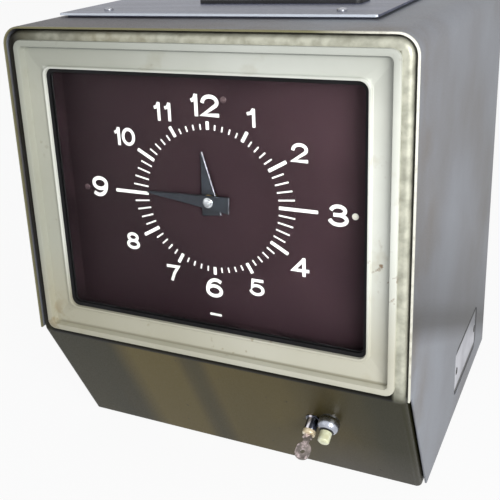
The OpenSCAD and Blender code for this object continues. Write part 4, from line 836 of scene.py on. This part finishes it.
key = rounded_bar("flat_key", (-4.5, 4.5), (-0.8, 0.8), (16.5, 27.5), 4, "Y")
for half, thick, low, high in ((1.8, 0.76, -6, 18), (2.8, 0.78, 11.6, 13.6)):
    weld(key, stock("stem", (-half, half), (-thick, thick), (low, high)))
set_down(key, -at(0, 0, 0))
ring_hole = (0, 22.5, 1.6)
cuts = [(2.1, -4 + 3 * i, 0.9 + 0.1 * (i % 3)) for i in range(4)]
for x, up, radius in [ring_hole] + cuts:
    bore(key, radius, -2, 2, (x / 1000, 0, up / 1000), facing, 24)
break_edges(key, 0.25)
set_down(key, *lock_place)
fit(key, "key", "key_steel", key_steel, "key")

# Knob: a domed, chromed knob beside the lock, held by a stud whose pale round head stands out
# of its end, over a black washer. A nut holds the stud behind the door.
chrome = finish_of("chrome", [(120, 124, 132), (160, 164, 174), (206, 210, 222)], patch=90, rough=(0.2, 0.28),
                   metal=1.0, grain=0.03, grit=500)
black = finish_of("black_washer", [(12, 12, 12), (22, 22, 24)], patch=90, rough=(0.5, 0.7), grain=0.1)
cream = finish_of("cream_cap", [(206, 204, 168), (220, 222, 188), (228, 226, 206)], patch=240,
                  rough=(0.3, 0.42), grain=0.05)


def dome(middle, high, radius, last, step):
    """The profile of a dome, from its widest ring towards its head."""
    turns = [math.radians(turn) for turn in range(0, last + 1, step)]
    return [(middle + radius * math.cos(turn), high + radius * math.sin(turn)) for turn in turns]


knob = turned("door_pull", [(5.8, 0), (5.8, 0.8), (6.5, 1.7), (6.7, 3)] + dome(1.9, 4.4, 4.8, 75, 7))
bore(knob, 2.1, -1, 12)
bench_z = in_mm(Vector()).z
second_finish(knob, chrome, black, lambda middle, way: middle.z - bench_z > 8.5)
set_down(knob, *knob_place)
fit(knob, "door", "chrome_plate", chrome, "door_knob")
stud = turned("pull_stud", [(2, -5.2), (2, 9.2), (3.6, 9.2)] + dome(2.2, 14.6, 1.4, 90, 15))
weld(stud, turned("stud_nut", [(4.4, -4.2), (4.4, -1.2)], sides=6))
set_down(stud, *knob_place)
fit(stud, "door", "brass_part", cream, "knob_stud")

# Top plate: a flat steel cover that lies on a thinner backing and so casts a dark line under its
# edge. Four screws hold it, and the card goes in through its slot.
# The blue tone of the top steel is a painted sky reflection.
top_blue = finish_of("top_steel", [(78, 82, 100), (90, 94, 114), (103, 107, 129)], patch=30,
                     rough=(0.28, 0.4), metal=0.3, shine=0.2, grain=0.08, stretch=(0.3, 3, 1))
# Painted highlight: a bright line along the plate's front edge.
lay_over(top_blue, (228, 236, 246), along(top_blue, "Y", 42.9, 42.1))
plate_top = 294.3
plate = rounded_bar("top_cover", (-113, 93), (42, 192), (293, plate_top), 2, "Z", 5)
weld(plate, stock("backing", (-109, 89), (46, 188), (hood_h, 293.2)))
cut_out(plate, rounded_cutter(card_slot_x, card_slot_y, (290, 297), card_slot_round, "Z"))
top_screw_places = [(x, y) for x in (-87, 67) for y in (60, 174)]
for x, y in top_screw_places:
    bore(plate, 1.6, -3, 3, at(x, y, 293), sides=24)
break_edges(plate, 0.25)
fit(plate, "case", "top_steel", top_blue, "top_plate")
zinc_bright = finish_of("bright_zinc", [(126, 128, 132), (160, 162, 168), (190, 192, 198)], patch=220,
                        rough=(0.25, 0.4), metal=0.85, grain=0.1)
lay_over(zinc_bright, (96, 88, 72), specks(zinc_bright, 420, 0.62, 0.74))
top_screw = slotted_screw([
    (1.5, -8.7), (1.5, -6.1), (3, -6.1), (3, -3.7), (1.5, -3.7), (1.5, 0), (3, 0), (3, 0.7),
    (2.7, 1.1), (1.9, 1.35), (0.8, 1.4)], 0.7)
top_screws = copies("cover_screws", top_screw, [at(x, y, plate_top) for x, y in top_screw_places])
fit(top_screws, "case", "screw_steel", zinc_bright, "top_plate_screws")

# Card throat: a black moulding that stands a little out of the top plate, with a flared mouth
# that leads the card down between the guides.
mouth_x, mouth_y, throat_top = (-31, 59), (101.7, 106.3), 297
black_plastic = finish_of("black_moulding", [(20, 20, 22), (30, 30, 33), (38, 38, 41)], patch=50,
                          rough=(0.45, 0.6), grain=0.25, grit=900)
throat = rounded_bar("card_mouth", (-40, 68), (93, 115), (plate_top, 296.5), 4, "Z", 6)
weld(throat, stock("chute", (-35.6, 63.6), (97.4, 110.6), (280.9, 295)))
flare = stock("cutter", mouth_x, mouth_y, (290.6, throat_top))
mark_out("EDGE", lambda middle, line: abs(line.x) > 0.9 and middle.z > throat_top - 1)
bpy.ops.transform.resize(value=(1, 2.2, 1), center_override=at(14, 104, throat_top))
bpy.ops.object.mode_set(mode="OBJECT")
cut_out(throat, flare, stock("cutter", mouth_x, mouth_y, (279, 291)))
break_edges(throat, 0.3)
fit(throat, "case", "black_plastic", black_plastic, "card_throat")

# Side plate: a pale cover sprung into the cut-out of the hood's right side, with a dark gap all
# round. Two blackened screws hold its flange against the sheet from inside.
pale_cover = finish_of("side_cover", [(168, 168, 174), (188, 188, 194), (204, 204, 210)], patch=40,
                       rough=(0.42, 0.55), metal=0.3, grain=0.06)
# Painted reflection: the dark streak from the hood's side continues over the cover.
lay_over(pale_cover, (92, 94, 100), painted_reflection_streak(pale_cover))
# Painted shadow: dark bands along the cover's bottom, rear and top edges, beside the gap.
for axis, start, end in (("Z", 20.4, 18.8), ("Y", 212.4, 213.8), ("Z", 46.6, 47.6)):
    lay_over(pale_cover, (18, 20, 18), along(pale_cover, axis, start, end))
side_in = hood_w / 2 - sheet
side_screw_places = [at(side_in, y, 32.25) for y in (143, 211)]
facing_right = (0, math.pi / 2, 0)
cover = rounded_bar("side_cover", (side_in - 0.1, side_in + 1), (137.2, 216.8), (15.7, 48.8), 4.8, "X")
weld(cover, rounded_cutter((side_in - sheet, side_in), (133, 221), (11.5, 53), 9, "X"))
for place in side_screw_places:
    for radius, low, high in ((1.6, -4, 1), (3, 0, 4)):
        bore(cover, radius, low, high, place, facing_right)
break_edges(cover, 0.2)
fit(cover, "case", "side_steel", pale_cover, "side_plate")
blackened = finish_of("blackened_steel", [(22, 22, 24), (34, 34, 36), (48, 46, 44)], patch=300,
                      rough=(0.35, 0.5), metal=0.2, shine=0.2, grain=0.1)
side_screw = slotted_screw([
    (1.5, -4), (1.5, -3.2), (3, -3.2), (3, -1.2), (1.5, -1.2), (1.5, 0), (2.7, 0), (2.7, 0.9),
    (2.3, 1.2)], 0.6)
side_screws = copies("side_screws", side_screw, side_screw_places, facing_right)
fit(side_screws, "case", "dark_screw", blackened, "side_plate_screws")

# Back plate: zinc-plated sheet let into the hood's rear, with four holes for wall screws, seven
# vents over the clockwork and the hole for the cord bushing.
back_y = 252
plate_t = 2
vent_low, vent_step, vent_h = 208.8, 8, 3
zinc = finish_of("zinc_steel", [(132, 135, 139), (148, 151, 156), (162, 165, 170)], patch=70,
                 rough=(0.3, 0.45), metal=0.9, grain=0.08, stretch=(1, 1, 2.5))
lay_over(zinc, (104, 94, 78), both(specks(zinc, 90, 0.6, 0.75), specks(zinc, 16, 0.45, 0.6)))
back = stock("back_sheet", (-123.5, 123.5), (back_y, back_y + plate_t), (3.2, 290.3))
round_off(lambda middle, line: abs(line.y) > 0.9 and middle.z > 280, 10.3)
holes = [(x, z, 2.75) for x in (-80, 80) for z in (78.8, 258.8)] + [(97.8, 37.2, 7.2)]
holes += [(x, z, 2.1) for x in (-rear_screw_x, rear_screw_x) for z in rear_screw_z]
for x, z, radius in holes:
    bore(back, radius, -4, 4, at(x, back_y, z), facing)
for i in range(7):
    vent_z = (vent_low + vent_step * i, vent_low + vent_step * i + vent_h)
    cut_out(back, rounded_cutter((-30, 30), (back_y - 2, back_y + 5), vent_z, 1.4, "Y"))
break_edges(back, 0.3)
fit(back, "case", "steel_sheet", zinc, "back_plate")

# Feet and case screws: rubber buttons pulled through the base, and slotted screws that join the
# hood to the base below and to the back plate behind.
foot_rubber = finish_of("foot_rubber", [(20, 20, 21), (30, 30, 32), (40, 39, 38)], patch=120,
                        rough=(0.6, 0.8), grain=0.3)
foot = turned("rubber_foot", [
    (7.2, -3), (7.8, -2.4), (8, -1.6), (7.8, 0.9), (7.5, 1.2), (2.9, 1.2), (2.9, 3.2), (4, 3.2),
    (4, 3.9), (3.2, 4.6)], 48)
feet = copies("rubber_foot_set", foot, [at(x, y, 0) for x in (-104.6, 104.6) for y in (84.05, 232)])
fit(feet, "case", "foot_rubber", foot_rubber, "rubber_feet")
rear_screw = slotted_screw([(2, -7), (2, 0), (3.6, 0), (3.6, 1.1), (3.1, 1.7), (1.6, 2)], 0.8)
rear_screws = copies("rear_screws", rear_screw, [
    at(x, back_y + plate_t, z) for x in (-rear_screw_x, rear_screw_x) for z in rear_screw_z],
    (-math.pi / 2, 0, 0))
base_screw = slotted_screw([
    (2, -7.2), (2, -6.2), (3.8, -6.2), (3.8, -3.2), (2, -3.2), (2, 0), (3.6, 0), (3.6, 1), (3, 1.6),
    (1.6, 1.8)], 0.8)
base_screws = copies("base_screws", base_screw, [
    at(x, y, 0) for x in (-118.8, 118.8) for y in (80.05, 228)], (math.pi, 0, 0))
fit(join_up("case_screw_set", [rear_screws, base_screws]), "case", "screw_steel", zinc_bright, "case_screws")

# Sheet parts inside: base, hinge arms and eyes, clips, frame, guides and keeper, all pressed
# from zinc-plated steel, and the screws, pins and shafts that are turned from bright rod.
paint(blackened, "crystal_retainer")
paint(zinc, "base_plate", "case_hinge_arms", "door_hinge_eyes", "bezel_clips", "lock_cam", "lock_keeper",
      "print_bracket", "inner_frame", "card_guides", "print_hammer")
paint(zinc_bright, "hinge_pins", "lock_nut", "cam_screw", "centre_arbor", "type_shaft", "solenoid_plunger")

# Clockwork: brass plates, posts, wheels and pinions, driven by a motor in a drawn can. Nothing of
# it shows past the dial, so it only gets its finish.
plate_brass = finish_of("plate_brass", [(160, 148, 104), (184, 172, 128), (198, 188, 148)], patch=24,
                        rough=(0.35, 0.5), metal=0.8, grain=0.1, stretch=(1, 1, 4))
lay_over(plate_brass, (110, 92, 60), specks(plate_brass, 130, 0.62, 0.78))
motor_can = finish_of("motor_can", [(140, 142, 146), (168, 170, 174), (186, 188, 192)], patch=60,
                      rough=(0.3, 0.45), metal=0.7, grain=0.1)
paint(plate_brass, "movement_front_plate", "movement_back_plate")
paint(brass, "pillars", "cannon_pinion", "minute_wheel", "hour_wheel", "centre_wheel", "motor_pinion",
      "carry_gear", "card_stop")
paint(motor_can, "clock_motor")

# Printing unit and power unit: type wheels of inked metal, plastic spools with a woven ribbon,
# and dark varnished coils and terminals.
type_metal = finish_of("type_metal", [(70, 68, 78), (106, 106, 114), (140, 140, 146)], patch=150,
                       rough=(0.35, 0.55), metal=0.7, grain=0.15)
lay_over(type_metal, (34, 26, 52), specks(type_metal, 260, 0.5, 0.62))
spool_grey = finish_of("spool_plastic", [(60, 60, 68), (76, 76, 84), (88, 88, 94)], patch=60,
                       rough=(0.45, 0.6), grain=0.15)
ribbon_ink = finish_of("ribbon_cloth", [(26, 20, 44), (36, 28, 58), (48, 38, 72)], patch=200,
                       rough=(0.7, 0.9), grain=0.5, grit=3000)
varnish = finish_of("dark_varnish", [(38, 34, 34), (54, 50, 50), (72, 68, 66)], patch=80,
                    rough=(0.35, 0.6), grain=0.25)
paint(type_metal, "minute_type_wheel", "hour_type_wheel", "date_type_wheel")
paint(spool_grey, "ribbon_spool_top", "ribbon_spool_bottom")
paint(ribbon_ink, "ink_ribbon")
paint(varnish, "print_solenoid", "power_unit")

# Studio: a pale floor that keeps the object's shadow, soft light from the right, above and the
# left, and a white room behind, all in metres. The camera stands right of the dial and above it.
floor_glow = 0.93
bpy.ops.object.select_all(action="DESELECT")
bpy.ops.mesh.primitive_plane_add(size=8, location=(0, 0, 0))
floor = bpy.context.object
floor.name = "studio_floor"


def seen_white(tree):
    """1 for what the camera, a mirror or a pane sees, and 0 for the light that falls on the object."""
    seen = wire(tree, "LightPath", {}, "Is Camera Ray")
    rays = seen.node.outputs
    for kind in ("Is Glossy Ray", "Is Transmission Ray"):
        seen = reckon("MAXIMUM", seen, rays[kind])
    return seen


floor_white = bpy.data.materials.new("studio_white")
floor_white.use_nodes = True
floor.data.materials.append(floor_white)
tree = floor_white.node_tree
matt = tree.nodes["Principled BSDF"]
matt.inputs["Roughness"].default_value = 1
matt.inputs["Specular IOR Level"].default_value = 0
paper = shaped(wire(tree, "TexNoise", {"Scale": 3}, "Fac"), (0, 0.78), (1, 0.8))
tree.links.new(paper, matt.inputs["Base Color"])
lit = wire(tree, "MixShader", {0: reckon("MULTIPLY", seen_white(tree), floor_glow),
                               1: matt.outputs["BSDF"], 2: wire(tree, "Emission", {})})
tree.links.new(lit, tree.nodes["Material Output"].inputs["Surface"])

room = bpy.data.worlds.new("studio")
room.use_nodes = True
bpy.context.scene.world = room
tree = room.node_tree
room_tone = wire(tree, "Mix", {0: seen_white(tree), 6: (0.28, 0.29, 0.31, 1), 7: (1, 1, 1, 1)}, 2,
                 data_type="RGBA")
tree.links.new(room_tone, tree.nodes["Background"].inputs["Color"])

for kind, place, size, power in (
        ("right", (0.62, -0.7, 0.4), 0.45, 7.6), ("left", (-0.8, -1.1, 0.7), 0.9, 1.2),
        ("top", (0.1, 0.1, 1.5), 1.0, 1)):
    bpy.ops.object.light_add(type="AREA", location=place)
    lamp = bpy.context.object
    lamp.name = "lamp_" + kind
    lamp.data.size = size
    lamp.data.energy = power
    lamp.rotation_euler = (Vector((0, 0, 0.15)) - Vector(place)).to_track_quat("-Z", "Y").to_euler()

bpy.ops.object.camera_add(location=at(215.884, -396.573, 350.247),
                          rotation=(math.radians(70.5710), math.radians(2.9922), math.radians(26.4715)))
camera = bpy.context.object
camera.data.lens = 60.29
camera.data.sensor_width = 36
camera.data.shift_x = 0.079
camera.data.shift_y = -0.0878
bpy.context.scene.camera = camera
bpy.context.scene.view_settings.view_transform = "Standard"
